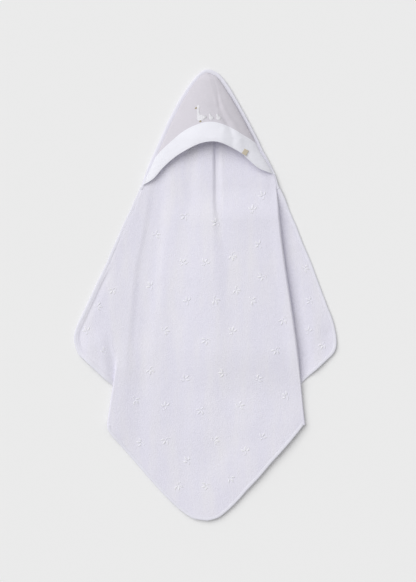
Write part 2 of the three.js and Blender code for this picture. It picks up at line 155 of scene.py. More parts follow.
def curve(points, count):
    """A smooth curve through points, resampled to count points by length."""
    p = np.array(points, float)
    knots = np.r_[0, np.cumsum(np.sqrt(np.linalg.norm(np.diff(p, axis=0), axis=1)))]
    slope = np.gradient(p, knots, axis=0)
    t = np.linspace(0, 1, 24, endpoint=False)[:, None]
    spans = []
    for i in range(len(p) - 1):
        span = knots[i + 1] - knots[i]
        spans.append((2 * t**3 - 3 * t**2 + 1) * p[i] + (t**3 - 2 * t**2 + t) * span * slope[i]
                     + (-2 * t**3 + 3 * t**2) * p[i + 1] + (t**3 - t**2) * span * slope[i + 1])
    return resample(np.vstack(spans + [p[-1:]]), count)


def offset(path, distance):
    """A plan path moved to the right of its direction, by one distance or one for each point."""
    along = unit(np.gradient(path, axis=0))
    return path + np.asarray(distance)[..., None] * np.stack([along[:, 1], -along[:, 0]], 1)


def nearest_y(path, y):
    return int(np.argmin(np.abs(path[:, 1] - y)))


def line_x(line):
    """x of a straight line, as a function of y."""
    (x1, y1), (x2, y2) = line
    return lambda y: x1 + (y - y1) / (y2 - y1) * (x2 - x1)


def by_y(*stations):
    """A value given at stations (y, value), as a function of y."""
    table = np.array(sorted(stations), float)
    return lambda y: np.interp(y, table[:, 0], table[:, 1])


def smooth(t):
    t = np.clip(t, 0, 1)
    return t * t * (3 - 2 * t)


def lerp(a, b, t):
    return a + (b - a) * t


def bump(distance, width):
    return np.exp(-((distance / width) ** 2))


left_fold = line_x(LEFT_FOLD_LINE)
right_hinge = line_x(RIGHT_HINGE_LINE)
inner_hinge = line_x(INNER_HINGE_LINE)
_bow = curve(RIGHT_FOLD_BOW, 160)


def right_fold(y):
    """x of the right fold as it lies: close to the hinge line, with a slight S."""
    return right_hinge(y) + np.interp(y, _bow[:, 0], _bow[:, 1])


# Smooth value noise, the same each run
LATTICE = 64
_lattice = np.random.default_rng(7).random((LATTICE, LATTICE))


def noise(x, y, scale):
    x, y = np.asarray(x, float) / scale, np.asarray(y, float) / scale
    col, row = np.floor(x).astype(int), np.floor(y).astype(int)
    across, down = smooth(x - col), smooth(y - row)

    def knot(i, j):
        return _lattice[i % LATTICE, j % LATTICE]

    near = lerp(knot(col, row), knot(col + 1, row), across)
    far = lerp(knot(col, row + 1), knot(col + 1, row + 1), across)
    return (lerp(near, far, down) - 0.5) * 2


# ------------------------------------------------------------------ grids
def xyz(x, y, z=0.0):
    return np.stack(np.broadcast_arrays(x, y, z), -1)


def coons(first, last, left, right):
    """Grid [row, column] inside four curves; first and last are rows, left and right columns."""
    u = np.linspace(0, 1, len(first))[None, :, None]
    v = np.linspace(0, 1, len(left))[:, None, None]
    ruled_v = first[None] * (1 - v) + last[None] * v
    ruled_u = left[:, None] * (1 - u) + right[:, None] * u
    corners = ((1 - u) * (1 - v) * first[0] + u * (1 - v) * first[-1]
               + (1 - u) * v * last[0] + u * v * last[-1])
    return ruled_v + ruled_u - corners


def grid_normals(surface):
    return unit(np.cross(np.gradient(surface, axis=1), np.gradient(surface, axis=0)))


def upward_normals(surface):
    normals = grid_normals(surface)
    return normals * np.sign(normals[..., 2:3] + 1e-9)


def drape(plan, height):
    """Points of a plan put on a height function, with their normals."""
    x, y = plan[..., 0], plan[..., 1]
    reach = 0.7
    slope_x = (height(x + reach, y) - height(x - reach, y)) / (2 * reach)
    slope_y = (height(x, y + reach) - height(x, y - reach)) / (2 * reach)
    return xyz(x, y, height(x, y)), unit(xyz(-slope_x, -slope_y, 1.0))


def count_for(span):
    """Number of grid points for a span in mm."""
    return max(4, int(round(span / STEP)) + 1)


# ------------------------------------------------------------------ heights of the terry
# Soft gathers that run down from the hood. Each is a step in height, going right:
# its line (y, x), the step's height (y, mm) and its width (y, mm).
GATHERS = [
    (by_y((264.5, -124.2), (218.5, -128.8), (149.5, -138), (69, -155.25), (-11.5, -164.45),
          (-103.5, -173.65), (-161, -177.1), (-241.5, -179.4)),
     by_y((333.5, 0), (253, -1.0), (207, -2.2), (149.5, -3.2), (69, -3.2), (-11.5, -3.0),
          (-103.5, -2.4), (-161, -1.4), (-241.5, 0)),
     by_y((264.5, 20), (-241.5, 24))),
    (by_y((264.5, -92), (218.5, -96.6), (149.5, -103.5), (69, -112.7), (-11.5, -119.6),
          (-103.5, -135.7), (-161, -142.6), (-241.5, -135.7)),
     by_y((333.5, 1.2), (253, 3.2), (149.5, 3.8), (69, 3.9), (-11.5, 3.5), (-103.5, 3.0),
          (-161, 2.2), (-310.5, 0.8)),
     by_y((264.5, 34), (-241.5, 44))),
    (by_y((333.5, -50.6), (218.5, -48.3), (149.5, -64.4), (69, -75.9), (-11.5, -83.95),
          (-103.5, -89.7), (-161, -87.4), (-241.5, -92), (-310.5, -87.4)),
     by_y((333.5, -1.2), (218.5, -1.1), (69, -0.8), (-11.5, -1.3), (-103.5, -1.4),
          (-241.5, -0.7), (-310.5, -0.3)),
     by_y((333.5, 24), (-241.5, 38))),
    (by_y((333.5, -20.7), (218.5, -25.3), (149.5, -27.6), (69, -32.2), (-11.5, -36.8),
          (-103.5, -57.5), (-161, -50.6), (-241.5, -36.8)),
     by_y((333.5, 2.2), (218.5, 2.0), (149.5, 0.9), (69, 0.9), (-11.5, 1.2), (-103.5, 1.0),
          (-241.5, 0.3)),
     by_y((333.5, 26), (-241.5, 44))),
    (by_y((333.5, 17.02), (218.5, 17.48), (149.5, 23), (69, 33.35), (-11.5, 41.4),
          (-103.5, 40.25), (-161, 36.8), (-287.5, 34.5)),
     by_y((333.5, -5.2), (241.5, -3.8), (184, -3.2), (138, -3.0), (69, -2.8), (-103.5, -2.8),
          (-241.5, -1.6), (-310.5, 0)),
     by_y((333.5, 9), (207, 10), (149.5, 22), (69, 40), (-241.5, 60))),
    (by_y((333.5, 31.05), (218.5, 32.2), (149.5, 46), (69, 73.6), (-241.5, 89.7)),
     by_y((333.5, 2.6), (241.5, 1.9), (138, 0.5), (69, 0.5), (-241.5, 0.4)),
     by_y((333.5, 12), (207, 14), (149.5, 40), (-241.5, 60))),
    (by_y((0, 78.2)), by_y((333.5, 0.9), (-241.5, 0.5)), by_y((0, 90))),
    (by_y((34.5, -216.2), (-103.5, -234.6), (-241.5, -239.2)),
     by_y((103.5, 0), (-11.5, 0.9), (-115, 0.9), (-195.5, 0)), by_y((0, 30))),
]
GATHER_GAIN = 1.22
SETTLE = 1.6  # how sharply the gathers level off at REST


def cloth_z(x, y):
    """Middle of the terry where it lies on the floor."""
    z = 3.4 + 2.6 * smooth((y + 60) / 260) * bump(x - 10, 130)
    for line, height, width in GATHERS:
        z = z + GATHER_GAIN * height(y) * smooth((x - line(y)) / width(y) + 0.5)
    # gentle unevenness, broader at the bottom
    z = z + 0.40 * noise(x + 700, y * 0.45 + 700, 46) + 0.20 * noise(x + 300, y * 0.7 + 900, 19)
    z = z + 0.7 * smooth((-200 - y) / 60) * noise(x + 500, y + 500, 75)
    return REST + np.log1p(np.exp((z - REST) * SETTLE)) / SETTLE


def right_lift(x, y):
    """How far the pleat lifts the centre panel's right side, 0 to 1."""
    start = np.maximum(right_fold(y) - 345, left_fold(y) + 15)
    return smooth((x - start) / 225)


def fold_top_z(y):
    """Height of the right fold: low at the hood's corner, and lower past the wing's end."""
    return FOLD_TOP * (0.36 + 0.64 * smooth((252 - y) / 80) - 0.57 * smooth((-118 - y) / 120))


def left_lift(x, y):
    return 5.0 * smooth((-85 - y) / 95) * smooth(((left_fold(y) + 78) - x) / 66)


def panel_z(x, y):
    fold = fold_top_z(y)
    at_edge = smooth((x - (right_fold(y) - 30)) / 24)
    z = lerp(cloth_z(x, y) + (fold - 4.3) * right_lift(x, y), fold, at_edge)
    return z + left_lift(x, y)


_flap_right = curve(RIGHT_FLAP, 200)


def flap_z(x, y):
    """Centre panel above its bottom end, bottom flap below it."""
    low = np.minimum(y, PANEL_BOTTOM)
    below = PANEL_BOTTOM - low
    down = np.clip(below / 222, 0, 1)
    edge = np.interp(-low, -_flap_right[:, 1], _flap_right[:, 0])
    lift = (FLAP_LIFT * lerp(1.0, 0.55, smooth(down * 1.05))
            * smooth((x - (edge - 190)) / 176))
    lift = np.maximum(lift, 2.6 * smooth((-465 - low) / 50))
    left = left_lift(x, PANEL_BOTTOM) * (1 - smooth(below / 60))
    ridge = 1.5 * smooth((-330 - low) / 80) * bump(x - (-150 - (low + 400) * 0.85), 60)
    away = smooth(below / 95)
    flap_part = lerp(panel_z(x, PANEL_BOTTOM), cloth_z(x, low) + lift + ridge, away) + left * away
    return np.where(y > PANEL_BOTTOM, panel_z(x, y), flap_part)


# ------------------------------------------------------------------ hood's arch
def right_binding_width(y):
    """Width of binding seen beside the hood's front."""
    return 5.0 + 3.0 * smooth((y - 285) / 60) + 1.4 * smooth((y - 440) / 40)


def left_binding_width(y):
    return 8.4 - 1.4 * smooth((y - 430) / 60) - 2.4 * smooth((300 - y) / 40)


def left_inset(count):
    edge = curve(LEFT_UPPER, count)
    return offset(edge, -left_binding_width(edge[:, 1]))


def right_inset(count, overlap):
    edge = curve(RIGHT_UPPER, count)
    return offset(edge, right_binding_width(edge[:, 1]) - overlap)


_arch_left = left_inset(160)
_arch_right = right_inset(160, 0.0)


def hood_z(x, y):
    """Middle of the hood's lining: an arch, gentle on the left and steep on the right."""
    left = np.interp(-y, -_arch_left[:, 1], _arch_left[:, 0])
    right = np.interp(-y, -_arch_right[:, 1], _arch_right[:, 0])
    u = np.clip((x - left) / np.maximum(right - left, 1e-6), 0, 1)
    crown = np.maximum(np.sin(math.pi * u ** 1.22), 0)  # its top is a little right of the middle
    arch = lerp(crown ** 0.64, crown ** 0.61, smooth((u - 0.45) / 0.3))
    rise = HOOD_RISE * np.clip((515 - y) / 155, 0, 1) ** 0.80
    # three creases that run down the right side
    creases = (1.8 * bump(u - 0.80 - 0.05 * np.sin(y / 26), 0.035)
               - 2.2 * bump(u - 0.73 - 0.04 * np.sin(y / 19 + 1), 0.035)
               + 1.2 * bump(u - 0.64 - 0.05 * np.sin(y / 33 + 2), 0.04))
    uneven = (0.8 * noise(x * 1.3 + 90, y * 0.8 + 400, 30)
              + 0.4 * noise(x + 50, y * 1.2, 13) * (0.3 + 1.7 * smooth((u - 0.5) / 0.25)))
    detail = (creases + uneven) * crown * np.clip((520 - y) / 120, 0, 1)
    # a steep drop into a groove beside the right binding, and closing down at the tip
    groove = (5.5 * bump(np.maximum(right - x, 0), 2.6) * np.clip((520 - y) / 60, 0, 1)
              * smooth((y - 262) / 40))
    tip = 3.4 * smooth((y - 494) / 16)
    base = 6.6 + 0.2 * (1 - smooth(u / 0.2))
    return base + rise * arch + detail - np.maximum(groove, tip)


def front_z(x, y):
    return hood_z(x, y) + 1.9


def band_z(x, y):
    return hood_z(x, y) + 2.6


def add_piece(name, mesh, cloth, material):
    """Smooth-shaded object whose "cl" attribute holds the cloth coordinates, in mm."""
    mesh.polygons.foreach_set("use_smooth", np.ones(len(mesh.polygons), bool))
    attribute = mesh.attributes.new("cl", "FLOAT_VECTOR", "POINT")
    attribute.data.foreach_set("vector", np.asarray(cloth, np.float32).ravel())
    mesh.materials.append(material)
    piece = bpy.data.objects.new(name, mesh)
    bpy.context.scene.collection.objects.link(piece)
    return piece


def face_piece(name, points, faces, material, cloth):
    mesh = bpy.data.meshes.new(name)
    mesh.from_pydata(to_m(points).tolist(), [], [list(map(int, face)) for face in faces])
    mesh.update()
    return add_piece(name, mesh, cloth, material)


def outward(piece):
    """Turn all face normals outwards."""
    bm = bmesh.new()
    bm.from_mesh(piece.data)
    bmesh.ops.recalc_face_normals(bm, faces=bm.faces)
    bm.to_mesh(piece.data)
    bm.free()
    return piece


def sheet(name, surface, normals, above, below, material, cloth=None):
    """A closed solid round a surface grid [row, column, 3]."""
    rows, columns = surface.shape[:2]
    top = surface + normals * above
    bottom = surface - normals * below
    both = np.vstack([top.reshape(-1, 3), bottom.reshape(-1, 3)])
    index = np.arange(rows * columns).reshape(rows, columns)
    upper = np.stack([index[:-1, :-1], index[:-1, 1:], index[1:, 1:], index[1:, :-1]], -1)
    upper = upper.reshape(-1, 4)
    # the top faces are wound to agree with the normal in the middle of the grid
    r, c = rows // 2, columns // 2
    turn = np.cross(top[r, c] - top[r, c - 1], top[r, c] - top[r - 1, c])
    agrees = turn @ normals[r, c] >= 0
    if not agrees:
        upper = upper[:, ::-1]
    walls = []
    sides = (index[0], True), (index[-1], False), (index[:, 0], False), (index[:, -1], True)
    for line, along in sides:
        near, far = line[:-1], line[1:]
        wall = np.stack([near, near + index.size, far + index.size, far], -1)
        walls.append(wall if along == agrees else wall[:, ::-1])
    walls = np.vstack(walls)
    faces = np.vstack([upper, upper[:, ::-1] + index.size, walls]).astype(np.int32)

    points = to_m(both)
    flat = normals.reshape(-1, 3)
    corners = points[walls]
    diagonal = corners[:, 2] - corners[:, 0]
    wall_normals = unit(np.cross(corners[:, 1] - corners[:, 0], diagonal)
                        + np.cross(diagonal, corners[:, 3] - corners[:, 0]))
    loop_normals = np.vstack([np.vstack([flat, -flat])[faces[:len(upper) * 2].ravel()],
                              np.repeat(wall_normals, 4, axis=0)])
    if cloth is None:
        cloth = both
    else:
        cloth = cloth.reshape(-1, 3)
        cloth = np.vstack([cloth, cloth + [0, 0, -6]])

    mesh = bpy.data.meshes.new(name)
    mesh.vertices.add(len(points))
    mesh.vertices.foreach_set("co", points.astype(np.float32).ravel())
    mesh.loops.add(faces.size)
    mesh.loops.foreach_set("vertex_index", faces.ravel())
    mesh.polygons.add(len(faces))
    mesh.polygons.foreach_set("loop_start", np.arange(0, faces.size, 4, dtype=np.int32))
    mesh.polygons.foreach_set("loop_total", np.full(len(faces), 4, np.int32))
    mesh.update(calc_edges=True)
    piece = add_piece(name, mesh, cloth, material)
    mesh.normals_split_custom_set(loop_normals.astype(np.float32).tolist())
    return piece


def sweep(name, path, out, up, section, material, scale):
    """A solid with a section [(outward, up)] swept along a path, with rounded ends.

    out and up are the section's axes and scale its two sizes, at each point of the path."""
    count, sides = len(path), len(section)
    rings = (path[:, None] + out[:, None] * section[None, :, :1] * scale[:, None, :1]
             + up[:, None] * section[None, :, 1:] * scale[:, None, 1:])
    index = np.arange(count * sides).reshape(count, sides)
    after = np.roll(index, -1, axis=1)
    quads = np.stack([index[:-1], after[:-1], after[1:], index[1:]], -1).reshape(-1, 4)
    turn = np.cross(rings[0, 1] - rings[0, 0], rings[1, 0] - rings[0, 0])
    inside_out = turn @ (rings[0, 0] - rings[0].mean(0)) < 0
    if inside_out:
        quads = quads[:, ::-1]
    quads = quads.tolist()
    points = rings.reshape(-1, 3)
    round_section = distances(np.vstack([section, section[:1]]))[:-1]
    cloth = xyz(distances(path)[:, None], round_section[None]).reshape(-1, 3)
    # each end: a smaller ring and a centre point
    triangles = []
    for end, ahead in ((0, path[0] - path[1]), (count - 1, path[-1] - path[-2])):
        ahead = unit(ahead)
        ring, centre = rings[end], rings[end].mean(0)
        reach = 0.35 * np.linalg.norm(ring - centre, axis=1).min()
        first = len(points)
        tip = first + sides
        points = np.vstack([points, centre + (ring - centre) * 0.7 + ahead * reach * 0.8,
                            [centre + ahead * reach]])
        ring_cloth = cloth[index[end]]
        cloth = np.vstack([cloth, ring_cloth, [ring_cloth.mean(0)]])
        order = -1 if (end == 0) != inside_out else 1
        for j in range(sides):
            k = (j + 1) % sides
            quads.append([index[end, j], index[end, k], first + k, first + j][::order])
            triangles.append([first + j, first + k, tip][::order])
    return face_piece(name, points, quads + triangles, material, cloth)


def tube_sides(first, rings, sides):
    """Side faces of a tube whose rings of vertices start at first."""
    faces = []
    for i in range(rings - 1):
        near, far = first + i * sides, first + (i + 1) * sides
        for j in range(sides):
            k = (j + 1) % sides
            faces.append([near + j, near + k, far + k, far + j])
    return faces


# ------------------------------------------------------------------ materials
def linear(rgb):
    """8-bit sRGB to linear RGBA."""
    return tuple((v / 255) / 12.92 if v <= 10 else ((v / 255 + 0.055) / 1.055) ** 2.4
                 for v in rgb) + (1.0,)


def tint(rgb, factor):
    return linear(tuple(min(255, v * factor) for v in rgb))


class Shader:
    """A material with a Principled shader, and short ways to add nodes."""

    def __init__(self, name):
        self.material = bpy.data.materials.new(name)
        self.material.use_nodes = True
        self.tree = self.material.node_tree
        self.tree.nodes.clear()
        output = self.node("ShaderNodeOutputMaterial")
        self.principled = self.node("ShaderNodeBsdfPrincipled")
        self.feed(output.inputs[0], self.principled.outputs[0])

    def node(self, kind, **settings):
        node = self.tree.nodes.new(kind)
        for key, value in settings.items():
            setattr(node, key, value)
        return node

    def feed(self, socket, value):
        """Link a socket, or set its value."""
        if isinstance(value, bpy.types.NodeSocket):
            self.tree.links.new(value, socket)
        else:
            socket.default_value = value

    def cloth(self):
        return self.node("ShaderNodeAttribute", attribute_name="cl").outputs["Vector"]

    def math(self, operation, a, b=None, clamp=False):
        node = self.node("ShaderNodeMath", operation=operation, use_clamp=clamp)
        self.feed(node.inputs[0], a)
        if b is not None:
            self.feed(node.inputs[1], b)
        return node.outputs[0]

    def plus(self, a, b, clamp=False):
        return self.math("ADD", a, b, clamp)

    def times(self, a, b, clamp=False):
        return self.math("MULTIPLY", a, b, clamp)

    def excess(self, value, over, gain, clamp=False):
        """How far a value is over a threshold, times gain."""
        return self.times(self.math("SUBTRACT", value, over, clamp=True), gain, clamp)

    def wave(self, value, pitch):
        return self.math("SINE", self.times(value, 2 * math.pi / pitch))

    def stretched(self, vector, scale):
        node = self.node("ShaderNodeMapping")
        self.feed(node.inputs["Vector"], vector)
        node.inputs["Scale"].default_value = scale
        return node.outputs["Vector"]

    def noise(self, vector, scale, detail=2.0, roughness=0.5):
        node = self.node("ShaderNodeTexNoise")
        self.feed(node.inputs["Vector"], vector)
        node.inputs["Scale"].default_value = scale
        node.inputs["Detail"].default_value = detail
        node.inputs["Roughness"].default_value = roughness
        return node.outputs["Fac"]

    def cells(self, vector, scale):
        node = self.node("ShaderNodeTexVoronoi")
        self.feed(node.inputs["Vector"], vector)
        node.inputs["Scale"].default_value = scale
        return node.outputs["Distance"]

    def mix(self, share, a, b):
        node = self.node("ShaderNodeMix", data_type="RGBA")
        for number, value in ((0, share), (6, a), (7, b)):
            self.feed(node.inputs[number], value)
        return node.outputs[2]

    def bump(self, height, distance, strength):
        node = self.node("ShaderNodeBump")
        node.inputs["Strength"].default_value = strength
        node.inputs["Distance"].default_value = distance
        self.feed(node.inputs["Height"], height)
        return node.outputs[0]

    def finish(self, color, roughness, specular, normal=None, sheen=0.0, sheen_roughness=0.5):
        inputs = self.principled.inputs
        self.feed(inputs["Base Color"], color)
        self.feed(inputs["Roughness"], roughness)
        inputs["Specular IOR Level"].default_value = specular
        if sheen:
            inputs["Sheen Weight"].default_value = sheen
            inputs["Sheen Roughness"].default_value = sheen_roughness
        if normal is not None:
            self.feed(inputs["Normal"], normal)
        return self.material


def terry_material(name, rgb, loop_size):
    s = Shader(name)
    at = s.cloth()
    cells = s.cells(at, scale=1 / loop_size)
    loops = s.math("SUBTRACT", 1.0, s.times(cells, 1.5, clamp=True))
    fuzz = s.noise(at, scale=1 / 0.7, detail=3.0, roughness=0.6)
    pile = s.noise(at, scale=1 / 7.0, detail=3.0, roughness=0.6)
    soft = s.noise(at, scale=1 / 60.0)
    height = s.plus(s.times(loops, 0.55), s.times(fuzz, 0.35))
    height = s.plus(height, s.times(pile, 0.5))
    # painted shade between the loops, lighter on the pile's tufts, darker again in broad patches
    gaps = s.times(s.math("SUBTRACT", 1.0, loops), 0.55, clamp=True)
    color = s.mix(gaps, linear(rgb), tint(rgb, 0.93))
    color = s.mix(s.excess(pile, over=0.35, gain=0.5), color, tint(rgb, 1.04))
    color = s.mix(s.excess(soft, over=0.45, gain=0.5), color, tint(rgb, 0.975))
    # long random patches, stretched along y, that are a little less blue
    patch = s.noise(s.stretched(at, (1.0, 0.22, 1.0)), scale=1 / 30.0, detail=3.0,
                    roughness=0.55)
    color = s.mix(s.excess(patch, over=0.42, gain=2.4, clamp=True), color,
                  linear((rgb[0], rgb[1], rgb[2] - 7)))
    return s.finish(color, roughness=0.95, specular=0.05, sheen=0.06, sheen_roughness=0.7,
                    normal=s.bump(height, distance=0.0011, strength=0.85))


def woven_material(name, rgb, pitch, depth, contrast, slub, sheen=0.02):
    """Plain weave: two crossed sets of rounded threads, with long slubs."""
    s = Shader(name)
    at = s.cloth()
    split = s.node("ShaderNodeSeparateXYZ")
    wobble = s.noise(at, scale=1 / 9.0)
    s.feed(split.inputs[0], at)
    threads = [s.wave(s.plus(axis, s.times(wobble, pitch * 0.6)), pitch)
               for axis in split.outputs[:2]]
    crossings = [s.wave(axis, pitch * 2) for axis in split.outputs[:2]]
    over = s.times(*crossings)
    weave = s.plus(s.times(s.plus(*threads), 0.25), s.times(over, 0.35))
    slubs = s.noise(s.stretched(at, (0.12, 1.6, 1.0)), scale=1.0, detail=3.0, roughness=0.6)
    patches = s.noise(at, scale=1 / 28.0, detail=3.0, roughness=0.55)
    height = s.plus(weave, s.times(slubs, slub))
    dark = tint(rgb, 1 - contrast)
    light = tint(rgb, 1 + contrast * 0.6)
    color = s.mix(s.plus(s.times(weave, 0.5), 0.5, clamp=True), dark, linear(rgb))
    color = s.mix(s.excess(slubs, over=0.45, gain=1.2), color, light)
    color = s.mix(s.excess(patches, over=0.45, gain=0.8), color, dark)
    return s.finish(color, roughness=0.88, specular=0.15, sheen=sheen,
                    normal=s.bump(height, distance=depth, strength=0.8))


def thread_material(name, rgb, pitch=0.9):
    """Twisted thread; pitch is the length of one twist."""
    s = Shader(name)
    at = s.cloth()
    split = s.node("ShaderNodeSeparateXYZ")
    s.feed(split.inputs[0], at)
    twist = s.wave(s.plus(split.outputs[0], s.times(split.outputs[1], 0.7)), pitch)
    grain = s.noise(at, scale=1 / 1.3)
    height = s.plus(s.times(twist, 0.4), s.times(grain, 0.4))
    color = s.mix(s.plus(s.times(twist, 0.5), 0.5, clamp=True), tint(rgb, 0.9), linear(rgb))
    return s.finish(color, roughness=s.plus(s.times(grain, 0.2), 0.42), specular=0.45,
                    normal=s.bump(height, distance=0.00025, strength=0.8), sheen=0.15)


TERRY = terry_material("terry_loops", (239, 237, 250), loop_size=1.9)
# the sprigs' terry: the same cloth painted lighter, a painted highlight for the light their
# raised leaves catch
RELIEF_PAINTED_LIGHTER = terry_material("terry_relief_painted_highlight", (248, 247, 255), loop_size=1.2)
BINDING = woven_material("binding_bias_weave", (239, 238, 248), pitch=0.9, depth=0.00022,
                         contrast=0.03, slub=0.25)
BAND = woven_material("band_plain_weave", (247, 247, 255), pitch=0.95, depth=0.00025,
                      contrast=0.025, slub=0.25)
GREY = woven_material("hood_woven_grey", (226, 222, 230), pitch=1.15, depth=0.00035,
                      contrast=0.07, slub=0.55)
THREAD = thread_material("thread_white", (251, 250, 255))
SEWING = thread_material("sewing_thread", (246, 246, 249), pitch=0.6)
TAN = thread_material("thread_tan", (178, 163, 122))
TAB = woven_material("tab_woven_tan", (219, 208, 187), pitch=0.8, depth=0.0003,
                     contrast=0.10, slub=0.4, sheen=0.05)


def terry_sheet(name, surface, normals):
    return sheet(name, surface, normals, HALF_TERRY, HALF_TERRY, TERRY)


# ------------------------------------------------------------------ centre panel
def pleat_z(y):
    """Middle of the pleat's hidden layer, sinking past the wing's lower end."""
    return PLEAT_Z - 2.0 * smooth((-118 - y) / 110) - 1.2 * smooth((-236 - y) / 34)


def fold_levels(y):
    """How far the pleat is folded (0 to 1), and the outer fold's top and bottom heights."""
    folded = smooth((246 - y) / 70)
    top = fold_top_z(y)
    return folded, top, lerp(top - 3.4, pleat_z(y), folded)


ROWS = np.linspace(PANEL_TOP, PANEL_BOTTOM, count_for(PANEL_TOP - PANEL_BOTTOM))
PANEL_COLUMNS = count_for(360)

_, _fold_high, _fold_low = fold_levels(ROWS)
_from = (left_fold(ROWS) + LEFT_INSET)[:, None]
_to = (right_fold(ROWS) - (_fold_high - _fold_low) / 2 * ROLL)[:, None]
_share = np.linspace(0, 1, PANEL_COLUMNS)[None, :]
_plan = np.stack(np.broadcast_arrays(_from + (_to - _from) * _share, ROWS[:, None]), -1)
panel, panel_normals = drape(_plan, panel_z)
panel_normals[:, -1] = [0, 0, 1]  # level where it meets the outer fold
centre = terry_sheet("terry_centre_panel", panel, panel_normals)
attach(centre, "centre")

# ------------------------------------------------------------------ right pleat
fold_blends = []


def fold_strips(name, surface, normals, upper_body, lower_body):
    """Cut a fold into short lengths where its height changes, and work out a turning plane for
    each, tilted to follow the fold's height; the planes are kept in fold_blends."""
    high, low = surface[:, :, 2].max(1), surface[:, :, 2].min(1)
    middle, thick, y = (high + low) / 2, high - low, surface[:, 0, 1]
    last = len(surface) - 1
    ends = [0]
    for i in range(1, len(surface)):
        if abs(middle[i] - middle[ends[-1]]) > 0.9 or i == last:
            ends.append(i)
    if ends[-1] - ends[-2] < 2 and len(ends) > 2:
        ends.pop(-2)
    for number, (i, j) in enumerate(zip(ends[:-1], ends[1:])):
        strip = terry_sheet("%s_%d" % (name, number + 1), surface[i:j + 1], normals[i:j + 1])
        half = 0.42 * min(thick[i], thick[j])
        tilt = (middle[j] - middle[i]) / (y[j] - y[i])
        drop = 2 * half / (1 + tilt * tilt)
        start = point_m(0, y[i], middle[i] + half)
        end = point_m(0, y[i] + drop * tilt, middle[i] + half - drop)
        fold_blends.append((strip, upper_body, lower_body, start, end))


# Outer fold: a rolled edge from the centre panel round to the hidden layer
_angle = np.linspace(math.pi / 2, -math.pi / 2, FOLD_POINTS)


def outer_fold_row(y):
    _, top, bottom = fold_levels(y)
    radius = (top - bottom) / 2
    return xyz(right_fold(y) - radius * ROLL + radius * ROLL * np.cos(_angle), y,
               (top + bottom) / 2 + radius * np.sin(_angle))


outer_fold = np.array([outer_fold_row(y) for y in ROWS])
_normals = unit(xyz(np.cos(_angle) / ROLL, 0.0, np.sin(_angle)))
fold_strips("terry_right_fold", outer_fold, np.tile(_normals, (len(ROWS), 1, 1)),
            "centre", "right_pleat")


def pleat_ends(y):
    """Outer and inner ends of the hidden layer: x, z, x, z."""
    folded = fold_levels(y)[0]
    outer_x, _, outer_z = outer_fold_row(y)[-1]
    inner_x = min(lerp(outer_x - 1.5, inner_hinge(y) + 3.0, folded), outer_x - 0.6)
    return outer_x, outer_z, inner_x, lerp(outer_z, float(pleat_z(y)), folded)


def pleat_edge_x(y):
    """x of the hidden layer's lower edge, which runs from the inner to the outer fold."""
    return 182 + ((-236 - y) / 56) * 42


def pleat_row(y, count=14):
    outer_x, outer_z, inner_x, inner_z = pleat_ends(y)
    if y < PLEAT_BOTTOM:
        inner_x = min(max(inner_x, pleat_edge_x(y)), outer_x - 0.6)
    return xyz(np.linspace(outer_x, inner_x, count), y, np.linspace(outer_z, inner_z, count))


pleat_start = int(np.searchsorted(-ROWS, -PLEAT_TOP))
pleat = np.array([pleat_row(y) for y in ROWS[pleat_start:]])
pleat_layer = terry_sheet("terry_right_pleat", pleat, np.broadcast_to([0, 0, -1.0], pleat.shape))
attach(pleat_layer, "right_pleat")

# Inner fold: from the hidden layer round to the right wing
_angle_in = np.linspace(math.pi / 2, 3 * math.pi / 2, 9)


def inner_fold_row(y):
    _, _, inner_x, inner_z = pleat_ends(y)
    folded = fold_levels(y)[0]
    radius = min(3.0 * lerp(0.55, 1, folded), max((inner_z - 1.9) / 2, 0.8))
    return xyz(inner_x + radius * np.cos(_angle_in), y,
               inner_z - radius + radius * np.sin(_angle_in))


_rows_in = ROWS[:int(np.searchsorted(-ROWS, -PLEAT_BOTTOM)) + 1]
inner_fold = np.array([inner_fold_row(y) for y in _rows_in])
_normals = xyz(-np.cos(_angle_in), 0.0, -np.sin(_angle_in))
fold_strips("terry_pleat_inner_fold", inner_fold[pleat_start:],
            np.tile(_normals, (len(_rows_in) - pleat_start, 1, 1)), "right_pleat", "right_wing")


# ------------------------------------------------------------------ right wing
def wing_plan(inner, outer, lower, columns):
    """Plan grid from the wing's inner edge to its outer edge, down to its lower edge."""
    outer = resample(outer, len(inner))
    lower = resample(np.vstack([inner[-1:], lower]), columns)
    return coons(resample(np.vstack([inner[:1], outer[:1]]), columns), lower, inner, outer)


def right_wing_z(x, y):
    d = x - right_fold(y)
    z = REST + 0.5 * (noise(x + 100, y * 0.6, 34) + 1) + 0.25 * (noise(x, y + 40, 14) + 1)
    # a soft mound and a small dent near the outer edge
    z = z + 1.6 * bump(np.hypot(x - 268, (y + 60) * 0.6), 30)
    z = z - 1.0 * bump(np.hypot(x - 279, y + 86), 10)
    # a ridge beside the fold, and one along the lower edge
    z = z + 2.0 * smooth((d - 6) / 30) * smooth((60 - y) / 100) * bump(d - 40, 26)
    above_edge = (y - (-250 + (x - 190) * 0.95)) * 0.72
    z = z + 3.2 * bump(above_edge, 30) * smooth((d - 10) / 30)
    return lerp(1.5, np.maximum(z, REST), smooth((d + 6) / 14))


def right_wing_top_z(x, y):
    return np.maximum(right_wing_z(x, y), REST)


right_edge = curve(RIGHT_WING, 400)
_inset = offset(right_edge, 4.0)
_corner = nearest_y(right_edge, -128)
_inner = inner_fold[:, -1]
_columns = count_for(150)
_plan = wing_plan(_inner[:, :2], _inset[:_corner + 1], _inset[_corner:][::-1][1:], _columns)
_z = right_wing_z(_plan[..., 0], _plan[..., 1])
# meets the inner fold, and rises towards the hood's corner
_near = (1 - np.linspace(0, 1, _columns))[None, :] ** 2
_z = _z + (_inner[:, 2:] - _z[:, :1]) * _near
_rise = 7.0 * (1 - smooth((250 - _plan[..., 1]) / 60))
_z = np.maximum(_z, REST) + _rise * (1 - _near) * 0.6
_surface = xyz(_plan[..., 0], _plan[..., 1], _z)
_normals = upward_normals(_surface)
_normals[:, 0] = [0, 0, 1]
right_wing = terry_sheet("terry_right_wing", _surface, _normals)
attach(right_wing, "right_wing")

